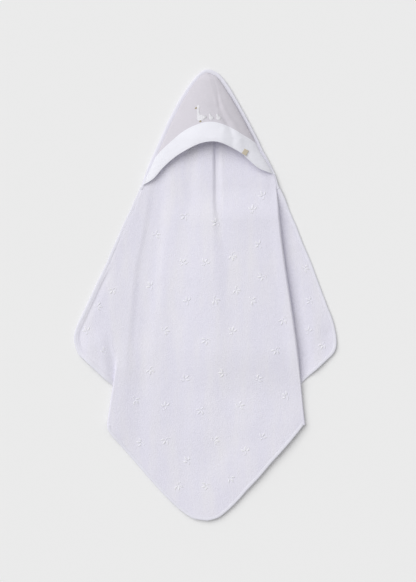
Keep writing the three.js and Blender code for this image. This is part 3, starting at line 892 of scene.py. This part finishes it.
# ------------------------------------------------------------------ left fold
# The panel's left edge rolls under low down, and runs on into the wing higher up.
FLAT_STATIONS = np.array([LEFT_INSET, 8.5, 5.0, 1.5, -2.0, -5.5, -9.0, -12.5, -16.0, -19.5])
FLAT_REACH = 19.5  # how far the stations go beyond the fold line
UNDER_Z = 4.4  # middle of the part rolled under
left_edge = curve(LEFT_WING, 400)
_edge_inside = offset(left_edge, -3.0)


def left_fold_row(y):
    fold_x = left_fold(y)
    rolled = float(smooth((-95 - y) / 95))
    # flat: shortened where the wing is narrow
    reach = FLAT_REACH
    if y > -60:
        outer_x = float(np.interp(-y, -_edge_inside[:, 1], _edge_inside[:, 0]))
        reach = float(np.clip(0.5 * (fold_x - outer_x), 0.25, FLAT_REACH))
    flat_x = fold_x + np.where(FLAT_STATIONS > 0, FLAT_STATIONS,
                               FLAT_STATIONS * reach / FLAT_REACH)
    flat_z = panel_z(flat_x, y)
    # rolled: over the edge and back under to the right
    top = float(panel_z(fold_x + 6.0, y))
    half = (top - UNDER_Z) / 2
    radius = max(half, 1.6)
    angle = np.linspace(math.pi / 2, 3 * math.pi / 2, 6)
    rolled_x = np.r_[fold_x + LEFT_INSET, fold_x + 7.5, fold_x + radius + radius * np.cos(angle),
                     fold_x + radius + 7, fold_x + radius + 15]
    rolled_z = np.r_[float(panel_z(fold_x + LEFT_INSET, y)), top,
                     (top + UNDER_Z) / 2 + half * np.sin(angle), UNDER_Z, UNDER_Z]
    return curve(xyz(lerp(flat_x, rolled_x, rolled), y, lerp(flat_z, rolled_z, rolled)), 26)


left_roll = np.array([left_fold_row(y) for y in ROWS])
left_roll[:, 0] = panel[:, 0]
left_roll_normals = grid_normals(np.concatenate([panel[:, 1:2], left_roll], 1))[:, 1:]
left_roll_normals *= np.sign(left_roll_normals[:1, :1, 2:3])
left_roll_normals[:, 0] = panel_normals[:, 0]
left_roll_sheet = terry_sheet("terry_left_fold", left_roll, left_roll_normals)
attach(left_roll_sheet, "centre")

# ------------------------------------------------------------------ left wing
_edge_points = resample(left_edge, 330)


def edge_distance(x, y, chunk=4000):
    """Distance in plan to the left wing's outline, worked out in chunks to save memory."""
    x, y = np.broadcast_arrays(x, y)
    points = np.stack([x.ravel(), y.ravel()], 1)
    found = np.empty(len(points))
    for i in range(0, len(points), chunk):
        gaps = points[i:i + chunk][:, None] - _edge_points[None]
        found[i:i + chunk] = np.sqrt((gaps ** 2).sum(-1).min(1))
    return found.reshape(x.shape)


def left_wing_z(x, y):
    z = cloth_z(x, y)
    # low down, a soft mound that falls away steeply beside the panel
    low_down = smooth((-70 - y) / 50) * smooth((y + 225) / 30)
    lean = x + 0.16 * (y + 110)
    mound = 5.0 * smooth((x + 300) / 36) * (1 - smooth((lean + 246) / 26))
    z = z + low_down * (mound - 0.9 * bump(lean + 222, 10))
    above_edge = (y - (-117 - (x + 304) * 1.07)) * 0.68
    z = z + 0.6 * bump(above_edge, 22) * smooth((-100 - y) / 40)
    # sinks at the edge, with a ridge and a groove beside the binding
    d = edge_distance(x, y)
    groove = 0.7 * bump(d - 6, 4) - 1.5 * bump(d - 13.4, np.where(d > 13.4, 8.0, 2.9))
    return z - 1.5 * bump(d, 7) + smooth((75 - y) / 40) * groove


def left_wing_top_z(x, y):
    return np.maximum(left_wing_z(x, y), REST)


def left_edge_nearest(x, y):
    return int(np.argmin(np.hypot(left_edge[:, 0] - x, left_edge[:, 1] - y)))


_rows = int(np.argmin(np.abs(ROWS + 212))) + 1
_inner = left_roll[:_rows, -1]
_inset = offset(left_edge, -4.0)
_corner = nearest_y(left_edge, -108)
_lower = _inset[_corner:left_edge_nearest(-213, -211) + 8][::-1]
_columns = count_for(140)
_plan = wing_plan(_inner[:, :2], _inset[:_corner + 1], _lower, _columns)
_z = left_wing_z(_plan[..., 0], _plan[..., 1])
_z = _z + (_inner[:, 2:] - _z[:, :1]) * np.linspace(1, 0, _columns)[None, :] ** 3
_surface = xyz(_plan[..., 0], _plan[..., 1], np.maximum(_z, REST))
_normals = upward_normals(_surface)
# shares the left fold's normals where the cloth runs on
_joined = smooth((ROWS[:_rows] + 95) / 40)[:, None]
_normals[:, 0] = unit(left_roll_normals[:_rows, -1] * _joined + _normals[:, 0] * (1 - _joined))
left_wing = terry_sheet("terry_left_wing", _surface, _normals)

# ------------------------------------------------------------------ bottom flap
_left = offset(curve(LEFT_FLAP, 300), -4.0)
_right = offset(curve(RIGHT_FLAP, 300), 4.0)
_left_corner = nearest_y(_left, -493)
_right_corner = nearest_y(_right, -478)
_rows, _columns = count_for(225), count_for(440)
_left_side = resample(_left[:_left_corner + 1], _rows)
_right_side = resample(_right[:_right_corner + 1], _rows)
_left_side[0] = [left_fold(PANEL_BOTTOM) + 1.2, PANEL_BOTTOM]
_right_side[0] = [right_fold(PANEL_BOTTOM) - 1.0, PANEL_BOTTOM]
_bottom = resample(np.vstack([_left[_left_corner:], _right[_right_corner:][::-1][1:]]), _columns)
_bottom[0], _bottom[-1] = _left_side[-1], _right_side[-1]
_top = np.linspace(_left_side[0], _right_side[0], _columns)
flap = terry_sheet("terry_bottom_flap",
                   *drape(coons(_top, _bottom, _left_side, _right_side), flap_z))


# ------------------------------------------------------------------ hood's back
def hood_back_z(x, y):
    away = smooth((y - PANEL_TOP) / 92)
    step = panel_z(x, PANEL_TOP) - cloth_z(x, PANEL_TOP)
    z = cloth_z(x, np.minimum(y, 345.0)) + step * (1 - away)
    return lerp(z, 1.7, smooth((y - 330) / 60))


_left = offset(curve(LEFT_UPPER, 300), -4.0)
_right = offset(curve(RIGHT_UPPER, 300), 4.0)
_left_corner = nearest_y(_left, 500)
_right_corner = nearest_y(_right, 500)
_rows, _columns = count_for(255), PANEL_COLUMNS + 8
_left_side = resample(_left[_left_corner:][::-1], _rows)
_right_side = resample(_right[_right_corner:][::-1], _rows)
_left_side[0] = [-144.5, PANEL_TOP]
_right_side[0] = [right_fold(PANEL_TOP) + 2, PANEL_TOP]
_tip = resample(np.vstack([_left[:_left_corner + 1][::-1], _right[:_right_corner + 1]]),
                _columns)
_tip[0], _tip[-1] = _left_side[-1], _right_side[-1]
_base = np.linspace(_left_side[0], _right_side[0], _columns)
hood_back = terry_sheet("terry_hood_back",
                        *drape(coons(_base, _tip, _left_side, _right_side), hood_back_z))

# ------------------------------------------------------------------ hood's lining and front
_inset_right = right_inset(40, 1.0)[::-1]
HOOD_LEFT = curve(np.vstack([[(-146.0, 254)], left_inset(40)[::-1][2:]]), 300)
HOOD_RIGHT = curve(np.vstack([[(159.0, 277)], _inset_right[_inset_right[:, 1] > 283]]), 300)
HOOD_COLUMNS = count_for(330)


def at_y(path, y):
    return np.stack([np.interp(y, path[:, 1], path[:, 0]), y], -1)


def crowd_right(row):
    """Move a row's points along it, so that they crowd towards its right end."""
    u = np.linspace(0, 1, len(row))
    return value_at(1 - (1 - u) ** 1.5, u, row)


def hood_plan(left_y, middle, right_y, top_y, rows):
    """Plan grid between the hood's sides, from a lower edge up to top_y."""
    lower = [at_y(HOOD_LEFT, left_y)] + middle + [at_y(HOOD_RIGHT, right_y)]
    left = at_y(HOOD_LEFT, np.linspace(left_y, top_y, rows))
    right = at_y(HOOD_RIGHT, np.linspace(right_y, top_y, rows))
    grid = coons(resample(curve(lower, 300), HOOD_COLUMNS),
                 np.linspace(left[-1], right[-1], HOOD_COLUMNS), left, right)
    return np.stack([crowd_right(row) for row in grid])


lining_plan = hood_plan(254.8, MOUTH_MIDDLE, 278.5, top_y=510, rows=count_for(270))
lining = sheet("hood_lining_cloth", *drape(lining_plan, hood_z), 0.8, 0.8, TERRY)

front_plan = hood_plan(319.0, SEAM_MIDDLE, 330.0, top_y=512, rows=count_for(200))
front = sheet("hood_front_cloth", *drape(front_plan, front_z), 0.6, 0.6, GREY,
              cloth=xyz(front_plan[..., 0], front_plan[..., 1]))

# ------------------------------------------------------------------ hood's band
BAND_ROWS = 22
BAND_WIDTH = 45  # in cloth coordinates
STITCH_SHARES = 0.07, 0.93  # where its two stitch lines run, as shares of its width
_share = np.linspace(0, 1, BAND_ROWS)
_lower, _upper = lining_plan[0], front_plan[0]
band_plan = _lower[None] * (1 - _share[:, None, None]) + _upper[None] * _share[:, None, None]
_surface, _ = drape(band_plan, band_z)
# slightly crowned, and dipped at the stitch lines
_crown = (0.55 * np.sin(math.pi * _share) ** 0.5
          - 0.5 * bump(_share - STITCH_SHARES[0], 0.022)
          - 0.45 * bump(_share - STITCH_SHARES[1], 0.022))
# sin(pi) may round to just below zero, which the root above can't take
_surface[..., 2] += _crown[:, None]
_normals = upward_normals(_surface)
band = sheet("hood_band_cloth", _surface, _normals, 1.0, 1.6, BAND,
             cloth=xyz(distances(_lower)[None], _share[:, None] * BAND_WIDTH))

# its lower lip, a rounded doubled edge
_lip, _up = _surface[0], _normals[0]
_out = unit(np.cross(unit(np.gradient(_lip, axis=0)), _up))
if _out[len(_out) // 2, 1] > 0:
    _out = -_out
_angle = np.linspace(0, 2 * math.pi, 12, endpoint=False)
lip = sweep("hood_band_lip", _lip - _up * 0.3 + _out * 0.1, _out, _up,
            np.stack([1.25 * np.cos(_angle), 1.35 * np.sin(_angle)], 1), BAND,
            scale=np.ones((len(_lip), 2)))


# ------------------------------------------------------------------ binding and stitches
def rounded_section(half_width, half_height, count=20, power=2.8):
    t = np.linspace(0, 2 * math.pi, count, endpoint=False)
    c, s = np.cos(t), np.sin(t)
    return np.stack([half_width * np.sign(c) * np.abs(c) ** (2 / power),
                     half_height * np.sign(s) * np.abs(s) ** (2 / power)], 1)


def full_size(x, y):
    return np.ones((len(x), 2))


def binding(name, edge, inward, height, half_width, half_height, seed, size=full_size):
    """Bias tape folded round an edge. The cloth is to the right of the edge's direction
    if inward is 1, to its left if -1. size gives scales of width and height at x, y.
    Returns the object, its centre line and its axes."""
    edge = resample(edge, max(6, int(distances(edge)[-1] / 3.5)))
    middle = offset(edge, inward * half_width * size(edge[:, 0], edge[:, 1])[:, 0])
    x, y = middle.T
    s = distances(middle)
    wobble = 0.25 * noise(s + 50 * seed, 13.0 * seed + 5, 13)
    path = xyz(x, y, np.maximum(height(x, y), half_height + 0.1) + np.abs(wobble) * 0.6)
    along = unit(np.gradient(path, axis=0))
    out = unit(np.cross(along, [0, 0, 1.0]) * -inward)
    up = np.cross(out, along)
    up *= np.sign(up[:, 2:3])
    scale = np.stack([1 + 0.05 * noise(s + 900, 3.0 + seed, 9),
                      1 + 0.10 * noise(s + 300, 7.0 + seed, 6)], 1) * size(x, y)
    piece = sweep(name, path, out, up, rounded_section(half_width, half_height), BINDING, scale)
    return piece, (path, out, up)


# A stitch's rings: place along it, share of its radius, lift
STITCH_RINGS = ((0, 0.15, -0.25), (0.2, 0.8, 0.0), (0.5, 1, 0.08), (0.8, 0.8, 0.0),
                (1, 0.15, -0.25))


def stitches(name, track, aside, height, pitch=3.6, length=2.5, radius=0.36):
    """A row of short raised stitches along a track (path, out, up), moved aside and up."""
    path, out, up = track
    s = distances(path)
    sides = 6
    points, faces, cloth = [], [], []
    for start in np.arange(int(s[-1] / pitch)) * pitch + 1.0:
        if start + length > s[-1]:
            break
        first = len(points)
        out_here, up_here = value_at(start, s, out), value_at(start, s, up)
        for number, (place, share, lift) in enumerate(STITCH_RINGS):
            middle = (value_at(start + length * place, s, path) + aside * out_here
                      + up_here * height)
            for j in range(sides):
                angle = 2 * math.pi * j / sides
                points.append(middle + out_here * radius * share * math.cos(angle)
                              + up_here * (radius * 0.8 * share * math.sin(angle) + lift))
                cloth.append((start + number * 0.5, j * 0.3, 0))
        faces += tube_sides(first, len(STITCH_RINGS), sides)
        last = len(points) - sides
        faces.append(list(range(first, first + sides))[::-1])
        faces.append(list(range(last, last + sides)))
    return outward(face_piece(name, points, faces, SEWING, cloth))


_edge = np.vstack([curve(LEFT_FLAP, 200), curve(RIGHT_FLAP, 200)[::-1][1:]])
flap_binding, _track = binding("binding_bottom_flap", _edge, -1, flap_z, half_width=3.8,
                               half_height=2.1, seed=1)
flap_stitches = stitches("stitches_bottom_flap", _track, aside=-2.3, height=1.65)


def left_wing_binding_size(x, y):
    """Flat high up, fuller lower down."""
    low_down = smooth((75 - y) / 40)
    return np.stack([lerp(0.85, 1.0, low_down), lerp(0.62, 0.9, low_down)], 1)


left_binding, _track = binding(
    "binding_left_wing", left_edge[:left_edge_nearest(-208, -216) + 6], -1, left_wing_top_z,
    half_width=4.2, half_height=2.7, seed=2, size=left_wing_binding_size)
left_stitches = stitches("stitches_left_wing", _track, aside=-2.5, height=1.95)


def right_binding_z(x, y):
    return right_wing_top_z(x, y) + 4.2 * (1 - smooth((250 - y) / 60))


right_binding, _track = binding("binding_right_wing", right_edge, 1, right_binding_z,
                                half_width=3.7, half_height=1.9, seed=3)
right_stitches = stitches("stitches_right_wing", _track, aside=-2.3, height=1.45)

# hidden layer's lower edge
_edge = np.array([[pleat_edge_x(y) - 2.0, y] for y in np.linspace(-239, -291, 20)])
pleat_binding, _ = binding("binding_right_pleat", _edge, 1, lambda x, y: pleat_z(y),
                           half_width=3.2, half_height=1.9, seed=4)

# Heights where the hood's binding meets the wings' bindings
LEFT_JOIN_Z = float(left_wing_top_z(-148.0, 249.0))
RIGHT_JOIN_Z = float(right_binding_z(164.0, 249.0))


def hood_binding_z(x, y):
    low_down = smooth((305 - y) / 52)
    return lerp(lerp(3.7, 2.3, smooth((x + 10) / 30)),
                np.where(x < 0, LEFT_JOIN_Z, RIGHT_JOIN_Z), low_down)


def hood_binding_size(x, y):
    low_down = smooth((305 - y) / 52)
    right = smooth((x + 10) / 30)
    left_width = 1.36 - 0.2 * smooth((y - 430) / 60)
    width = (lerp(lerp(left_width, 0.94, right), 1.0, low_down)
             + 0.14 * right * smooth((y - 285) / 60) + 0.24 * right * smooth((y - 440) / 40))
    return np.stack([width, lerp(lerp(0.86, 0.52, right), 0.66, low_down)], 1)


_edge = np.vstack([[(-153.2, 246.0)], curve(LEFT_UPPER, 260)[::-1], curve(RIGHT_UPPER, 260),
                   [(168.6, 246.0)]])
hood_binding, _track = binding("binding_hood_edge", _edge, 1, hood_binding_z, half_width=3.6,
                               half_height=3.8, seed=5, size=hood_binding_size)
hood_stitches = stitches("stitches_hood_edge", _track, aside=-1.9, height=2.2)


def band_stitches(name, row):
    path, normals = drape(resample(band_plan[row], 300)[None], band_z)
    path, normals = path[0] + normals[0] * 0.95, normals[0]
    track = path, np.cross(unit(np.gradient(path, axis=0)), normals), normals
    return stitches(name, track, aside=0, height=0.1, pitch=3.2, length=2.3, radius=0.34)


seam_stitches = band_stitches("stitches_band_seam", int(STITCH_SHARES[1] * (BAND_ROWS - 1)))
mouth_stitches = band_stitches("stitches_band_mouth", int(STITCH_SHARES[0] * (BAND_ROWS - 1)))

# ------------------------------------------------------------------ relief sprigs
# A sprig's leaves: start, end, half width, share of the height, bend, stations
SPRIG_LEAVES = [
    ((0, -1), (1.0, 11.5), 2.9, 1.0, 0.7, 7),
    ((-0.8, -1.5), (-10.4, 5.6), 2.6, 0.95, 1.8, 7),
    ((0.9, -1.0), (10.0, 6.4), 2.6, 0.95, -1.8, 7),
    ((0, -0.5), (-2.4, -12.0), 1.35, 0.85, 1.6, 7),
    ((-1.6, -8.0), (-7.4, -8.8), 1.5, 0.8, 0.9, 5),
]
LEAF_ACROSS = np.array([-1, -0.55, 0, 0.55, 1])

# Places of the sprigs, (x, y)
CENTRE_SPRIGS = [
    (105.8, 197.8), (-50.6, 181.7), (-115, 140.3), (119.6, 117.3), (59.8, 89.7), (-52.9, 75.9),
    (126.5, 43.7), (105.8, -11.5), (-43.7, -11.5), (158.7, -126.5), (119.6, -190.9),
    (20.7, 167.9), (20.7, -11.5), (59.8, -80.5), (-2.3, -103.5), (-94.3, -80.5), (-128.8, 23),
    (-128.8, -172.5), (-48.3, -190.9), (36.8, -177.1), (-163.3, -241.5), (-94.3, -253),
    (-13.8, -264.5), (78.2, -253), (181.7, -230), (69, 11.5), (-2.3, 75.9), (-69, 246.1),
    (78.2, 264.5), (128.8, 230), (174.8, -57.5)]
FLAP_SPRIGS = [
    (-43.7, -379.5), (-94.3, -333.5), (20.7, -333.5), (89.7, -356.5), (-2.3, -437),
    (55.2, -420.9), (128.8, -324.3), (-151.8, -338.1), (-64.4, -439.3)]
LEFT_SPRIGS = [(-276, -80.5), (-216.2, 11.5), (-248.4, -25.3), (-234.6, -126.5)]
RIGHT_SPRIGS = [(236.9, -11.5), (266.8, -115), (227.7, 62.1), (234.6, -80.5)]


def leaf(plan, heights, faces, start, end, half_width, height, bend, stations):
    """Add a raised leaf from start to end: plan points, heights over the cloth, faces."""
    start = np.array(start)
    run = np.array(end) - start
    aside = np.array([-run[1], run[0]]) / np.linalg.norm(run)
    t = np.linspace(0, 1, stations)
    width = half_width * np.sin(math.pi * np.clip(t, 0.02, 0.98)) ** 0.6
    ridge = np.sin(math.pi * np.clip(t, 0.03, 0.97)) ** 0.5
    spine = start + t[:, None] * run + (bend * np.sin(math.pi * t))[:, None] * aside
    top = len(plan)
    columns = len(LEAF_ACROSS)
    base = top + stations * columns
    for across in (LEAF_ACROSS, np.array([-1, 1])):
        shift = (width[:, None] * across)[..., None] * aside
        plan.extend((spine[:, None] + shift).reshape(-1, 2))
    heights.extend((height * np.outer(ridge, (1 - LEAF_ACROSS ** 2) ** 0.7) - 0.35).ravel())
    heights.extend([-1.0] * (2 * stations))
    for i in range(stations - 1):
        near, far = top + i * columns, top + (i + 1) * columns
        for j in range(columns - 1):
            faces.append([near + j, far + j, far + j + 1, near + j + 1])
        low, low_far = base + i * 2, base + (i + 1) * 2
        faces.append([low, low + 1, low_far + 1, low_far])
        faces.append([near, low, low_far, far])
        faces.append([far + columns - 1, low_far + 1, low + 1, near + columns - 1])
    faces.append(list(range(top, top + columns)) + [base + 1, base])
    faces.append(list(range(far, far + columns))[::-1] + [low_far, low_far + 1])


def sprigs(name, places, turn, first_turn, scale, surface):
    """Small three-leaved sprigs raised in the pile, each turned further than the last."""
    plan, heights, faces = [], [], []
    for number, (x, y) in enumerate(places):
        # a place too near the hood has no sprig, but still counts for the turn
        if y >= PANEL_TOP - 12:
            continue
        angle = (number * turn + first_turn) % 6.283
        c, s = math.cos(angle), math.sin(angle)

        def placed(a, b):
            return x + scale * (a * c - b * s), y + scale * (a * s + b * c)

        for start, end, half_width, share, bend, stations in SPRIG_LEAVES:
            leaf(plan, heights, faces, placed(*start), placed(*end), half_width * scale,
                 SPRIG_HEIGHT * share, bend, stations)
    points, normals = drape(np.array(plan), surface)
    points = points + normals * (HALF_TERRY + np.array(heights))[:, None]
    return outward(face_piece(name, points, faces, RELIEF_PAINTED_LIGHTER, points))


centre_sprigs = sprigs("relief_centre", CENTRE_SPRIGS, turn=2.399, first_turn=0.0, scale=0.95,
                       surface=panel_z)
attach(centre_sprigs, "centre")
flap_sprigs = sprigs("relief_bottom_flap", FLAP_SPRIGS, turn=1.9, first_turn=0.7, scale=0.95,
                     surface=flap_z)
left_sprigs = sprigs("relief_left_wing", LEFT_SPRIGS, turn=2.1, first_turn=0.4, scale=0.9,
                     surface=left_wing_top_z)
right_sprigs = sprigs("relief_right_wing", RIGHT_SPRIGS, turn=1.7, first_turn=1.1, scale=0.85,
                      surface=right_wing_top_z)
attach(right_sprigs, "right_wing")

# ------------------------------------------------------------------ embroidery
# Outlines of the satin stitch: (y, x from, x to)
DUCK = [(400.0, -19.5, -9), (402, -22, -5), (405, -23, 0), (408.0, -22.6, 1.5),
        (411, -22.4, -2.5), (413, -22.2, -14), (420, -22.0, -16.6), (427, -21.8, -16.0),
        (430, -22.5, -14.6), (433, -21.8, -14.6), (435.5, -20.0, -16.2)]
BEAK = [(427.5, -26.5, -21.8), (429.5, -26, -21.6), (431, -24, -21.5)]
FEET = [(396.9, -17, -11), (398.6, -15.5, -12), (400, -14.8, -12.8)]
FRONT_DUCKLING = [(401.5, 8.5, 13.5), (403.5, 6.0, 16.5), (406.8, 5.4, 17.5), (409, 6.0, 12.5),
                  (412.5, 4.8, 10.6), (415.5, 6.2, 9.4)]
BACK_DUCKLING = [(401.0, 25, 30), (403, 22.6, 33), (406.2, 22.0, 34), (408.5, 22.6, 29),
                 (412, 21.4, 27.2), (415, 22.8, 26)]
SATIN_PITCH = 0.75
SATIN_BASE = 0.65  # height of the threads over the front cloth's middle
SATIN_ARCH = 0.75
SATIN_RADIUS = 0.56
SATIN_SLANT = 0.35  # how far each thread climbs in y


def satin(name, outline, material):
    """Satin stitch: parallel raised threads across an outline."""
    table = np.array(outline, float)
    sides, rings = 6, 5
    rows = np.arange(table[0, 0], table[-1, 0], SATIN_PITCH)
    start, end = value_at(rows, table[:, 0], table[:, 1:]).T[..., None]
    t = np.linspace(0, 1, rings)[None]
    x = start + (end - start) * t
    y = rows[:, None] + SATIN_SLANT * t
    points, normals = drape(np.stack([x, y], -1), front_z)
    arch = np.sin(math.pi * np.clip(t, 0.06, 0.94))
    points = points + normals * (SATIN_BASE + SATIN_ARCH * (arch - 0.35) * 0.7)[..., None]
    radius = (SATIN_RADIUS * (0.6 + 0.4 * arch))[..., None, None]
    angle = (2 * math.pi * np.arange(sides) / sides)[:, None]
    tubes = (points[:, :, None] + np.array([0, 1.0, 0]) * radius * np.cos(angle) * 1.15
             + normals[:, :, None] * radius * np.sin(angle))
    cloth = xyz(x[..., None], y[..., None] + 0.1 * np.arange(sides))
    faces = []
    for first in range(0, len(rows) * rings * sides, rings * sides):
        last = first + (rings - 1) * sides
        faces += tube_sides(first, rings, sides)
        faces.append(list(range(first, first + sides)))
        faces.append(list(range(last, last + sides)))
    return outward(face_piece(name, tubes, faces, material, cloth))


duck = satin("satin_duck", DUCK, THREAD)
beak = satin("satin_duck_beak", BEAK, TAN)
feet = satin("satin_duck_feet", FEET, TAN)
front_duckling = satin("satin_duckling_front", FRONT_DUCKLING, THREAD)
back_duckling = satin("satin_duckling_back", BACK_DUCKLING, THREAD)

# ------------------------------------------------------------------ woven tab
TAB_LENGTH, TAB_WIDTH = 13.0, 11.0
TAB_DIRECTION = unit(np.array([-0.5, -0.8665]))  # down towards the hood's mouth
TAB_SHIFT = np.array([-2.4, -0.4])  # from the middle of its CAD box


def woven_tab():
    low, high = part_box("woven_tab")
    middle = np.array([(low[i] + high[i]) / 2 * 1000 - ORIGIN[i] for i in (0, 1)])
    columns, rows = 15, 24
    across, along = np.meshgrid(np.linspace(-1, 1, columns), np.linspace(-1, 1, rows))
    sideways = np.array([-TAB_DIRECTION[1], TAB_DIRECTION[0]])
    plan = (middle + TAB_SHIFT + across[..., None] * sideways * TAB_WIDTH / 2
            + along[..., None] * TAB_DIRECTION * TAB_LENGTH / 2)
    z = band_z(plan[..., 0], plan[..., 1]) + 1.75
    # flatter across than the band, with a lifted free end, a dent at the sewn end and ribs
    z = z.mean(1)[:, None] * 0.5 + z * 0.5
    z = (z + 0.75 + 0.9 * smooth((along - 0.2) / 0.8) - 0.35 * bump(along + 0.82, 0.09)
         + 0.12 * np.cos(along * 40))
    surface = xyz(plan[..., 0], plan[..., 1], z)
    normals = upward_normals(surface)
    points = np.stack([surface - normals * 0.45, surface + normals * 0.45])
    u, v = (across + 1) * TAB_WIDTH / 2, (along + 1) * TAB_LENGTH / 2
    cloth = np.stack([xyz(u, v, 0.0), xyz(u, v, 0.4)])
    low = np.arange(columns * rows).reshape(rows, columns)
    top = low + low.size
    faces = []
    for j in range(rows - 1):
        for i in range(columns - 1):
            faces.append([top[j, i], top[j, i + 1], top[j + 1, i + 1], top[j + 1, i]])
            faces.append([low[j, i], low[j + 1, i], low[j + 1, i + 1], low[j, i + 1]])
    for j in range(rows - 1):
        faces.append([low[j, 0], top[j, 0], top[j + 1, 0], low[j + 1, 0]])
        faces.append([low[j, -1], low[j + 1, -1], top[j + 1, -1], top[j, -1]])
    for i in range(columns - 1):
        faces.append([low[0, i], low[0, i + 1], top[0, i + 1], top[0, i]])
        faces.append([low[-1, i], top[-1, i], top[-1, i + 1], low[-1, i + 1]])
    return outward(face_piece("woven_tab_cloth", points, faces, TAB, cloth))


tab = woven_tab()
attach(tab, "tab")

# ------------------------------------------------------------------ bodies
for piece in (hood_back, hood_binding, hood_stitches, lining, band, lip, mouth_stitches):
    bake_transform(piece)
for piece in (front, seam_stitches, duck, beak, feet, front_duckling, back_duckling):
    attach(piece, "hood")

for piece in (flap, flap_binding, flap_stitches, flap_sprigs):
    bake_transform(piece)

# A point on the left fold line, and the left wing's pieces baked where they lie
_on_fold = np.array([left_fold(0.0), 0.0])
for piece in (left_wing, left_binding, left_stitches, left_sprigs):
    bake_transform(piece)

for strip_blend in fold_blends:
    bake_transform(*strip_blend)
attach(right_binding, "right_wing")
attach(right_stitches, "right_wing")
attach(pleat_binding, "right_pleat")

# ------------------------------------------------------------------ CAD nodes hidden
REPLACED = {
    "centre_panel": centre,
    "bottom_flap_panel": flap,
    "bottom_flap_binding": flap_binding,
    "bottom_flap_topstitch": flap_stitches,
    "left_wing_panel": left_wing,
    "left_wing_binding": left_binding,
    "left_wing_topstitch": left_stitches,
    "right_wing_panel": right_wing,
    "right_wing_binding": right_binding,
    "right_wing_topstitch": right_stitches,
    "right_pleat_panel": pleat_layer,
    "right_pleat_binding": pleat_binding,
    "hood_back_panel": hood_back,
    "hood_lining": lining,
    "hood_front_panel": front,
    "hood_band": band,
    "hood_band_seam_topstitch": seam_stitches,
    "hood_band_mouth_topstitch": mouth_stitches,
    "hood_edge_binding": hood_binding,
    "hood_edge_topstitch": hood_stitches,
    "embroidery_duck": duck,
    "embroidery_duck_beak": beak,
    "embroidery_duck_feet": feet,
    "embroidery_duckling_front": front_duckling,
    "embroidery_duckling_back": back_duckling,
    "woven_tab": tab,
}
for node_name, piece in REPLACED.items():
    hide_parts(node_name)


# ------------------------------------------------------------------ floor (metres)
def floor_material():
    s = Shader("floor_paper")
    at = s.node("ShaderNodeTexCoord").outputs["Object"]
    cloudy = s.times(s.noise(at, scale=3.0, detail=3.0), 0.12)
    color = s.mix(cloudy, linear((243, 243, 243)), linear((240, 240, 240)))
    return s.finish(color, roughness=0.9, specular=0.1)


FLOOR_HALF, FLOOR_Z = 14.0, -0.0002
_material = floor_material()
_mesh = bpy.data.meshes.new("floor")
_signs = (-1, -1), (1, -1), (1, 1), (-1, 1)
_mesh.from_pydata([(i * FLOOR_HALF, j * FLOOR_HALF, FLOOR_Z) for i, j in _signs], [],
                  [(0, 1, 2, 3)])
_mesh.materials.append(_material)
floor = bpy.data.objects.new("floor", _mesh)
bpy.context.scene.collection.objects.link(floor)

# ------------------------------------------------------------------ light
WORLD_STRENGTH = 0.49
KEY_STRENGTH = 1.84
KEY_SPREAD = math.radians(50)
KEY_ELEVATION = math.radians(48)
KEY_AZIMUTH = math.radians(140)  # from +X towards +Y

world = bpy.data.worlds.new("soft")
bpy.context.scene.world = world
world.use_nodes = True
background = world.node_tree.nodes["Background"]
background.inputs[0].default_value = (1, 1, 1, 1)
background.inputs[1].default_value = WORLD_STRENGTH

sun = bpy.data.lights.new("key", "SUN")
sun.energy = KEY_STRENGTH
sun.angle = KEY_SPREAD
key = bpy.data.objects.new("key", sun)
bpy.context.scene.collection.objects.link(key)
towards_key = Vector((math.cos(KEY_ELEVATION) * math.cos(KEY_AZIMUTH),
                      math.cos(KEY_ELEVATION) * math.sin(KEY_AZIMUTH),
                      math.sin(KEY_ELEVATION)))
key.rotation_euler = towards_key.to_track_quat("Z", "Y").to_euler()

# ------------------------------------------------------------------ camera, looking down
VIEW_CENTRE = 3.45, 10.35  # drawing mm
VIEW_HEIGHT = 1.3386  # metres seen from top to bottom, at FOCUS_Z
FOCUS_Z = 0.004
CAMERA_Z = 4.5
SENSOR_HEIGHT = 24

camera_data = bpy.data.cameras.new("camera")
camera = bpy.data.objects.new("camera", camera_data)
bpy.context.scene.collection.objects.link(camera)
camera.location = (*point_m(*VIEW_CENTRE, 0)[:2], CAMERA_Z)
camera_data.sensor_fit = "VERTICAL"
camera_data.sensor_height = SENSOR_HEIGHT
camera_data.lens = SENSOR_HEIGHT * (CAMERA_Z - FOCUS_Z) / VIEW_HEIGHT
camera_data.clip_end = 100
bpy.context.scene.camera = camera

bpy.context.scene.view_settings.view_transform = "Standard"
bpy.context.scene.view_settings.look = "None"
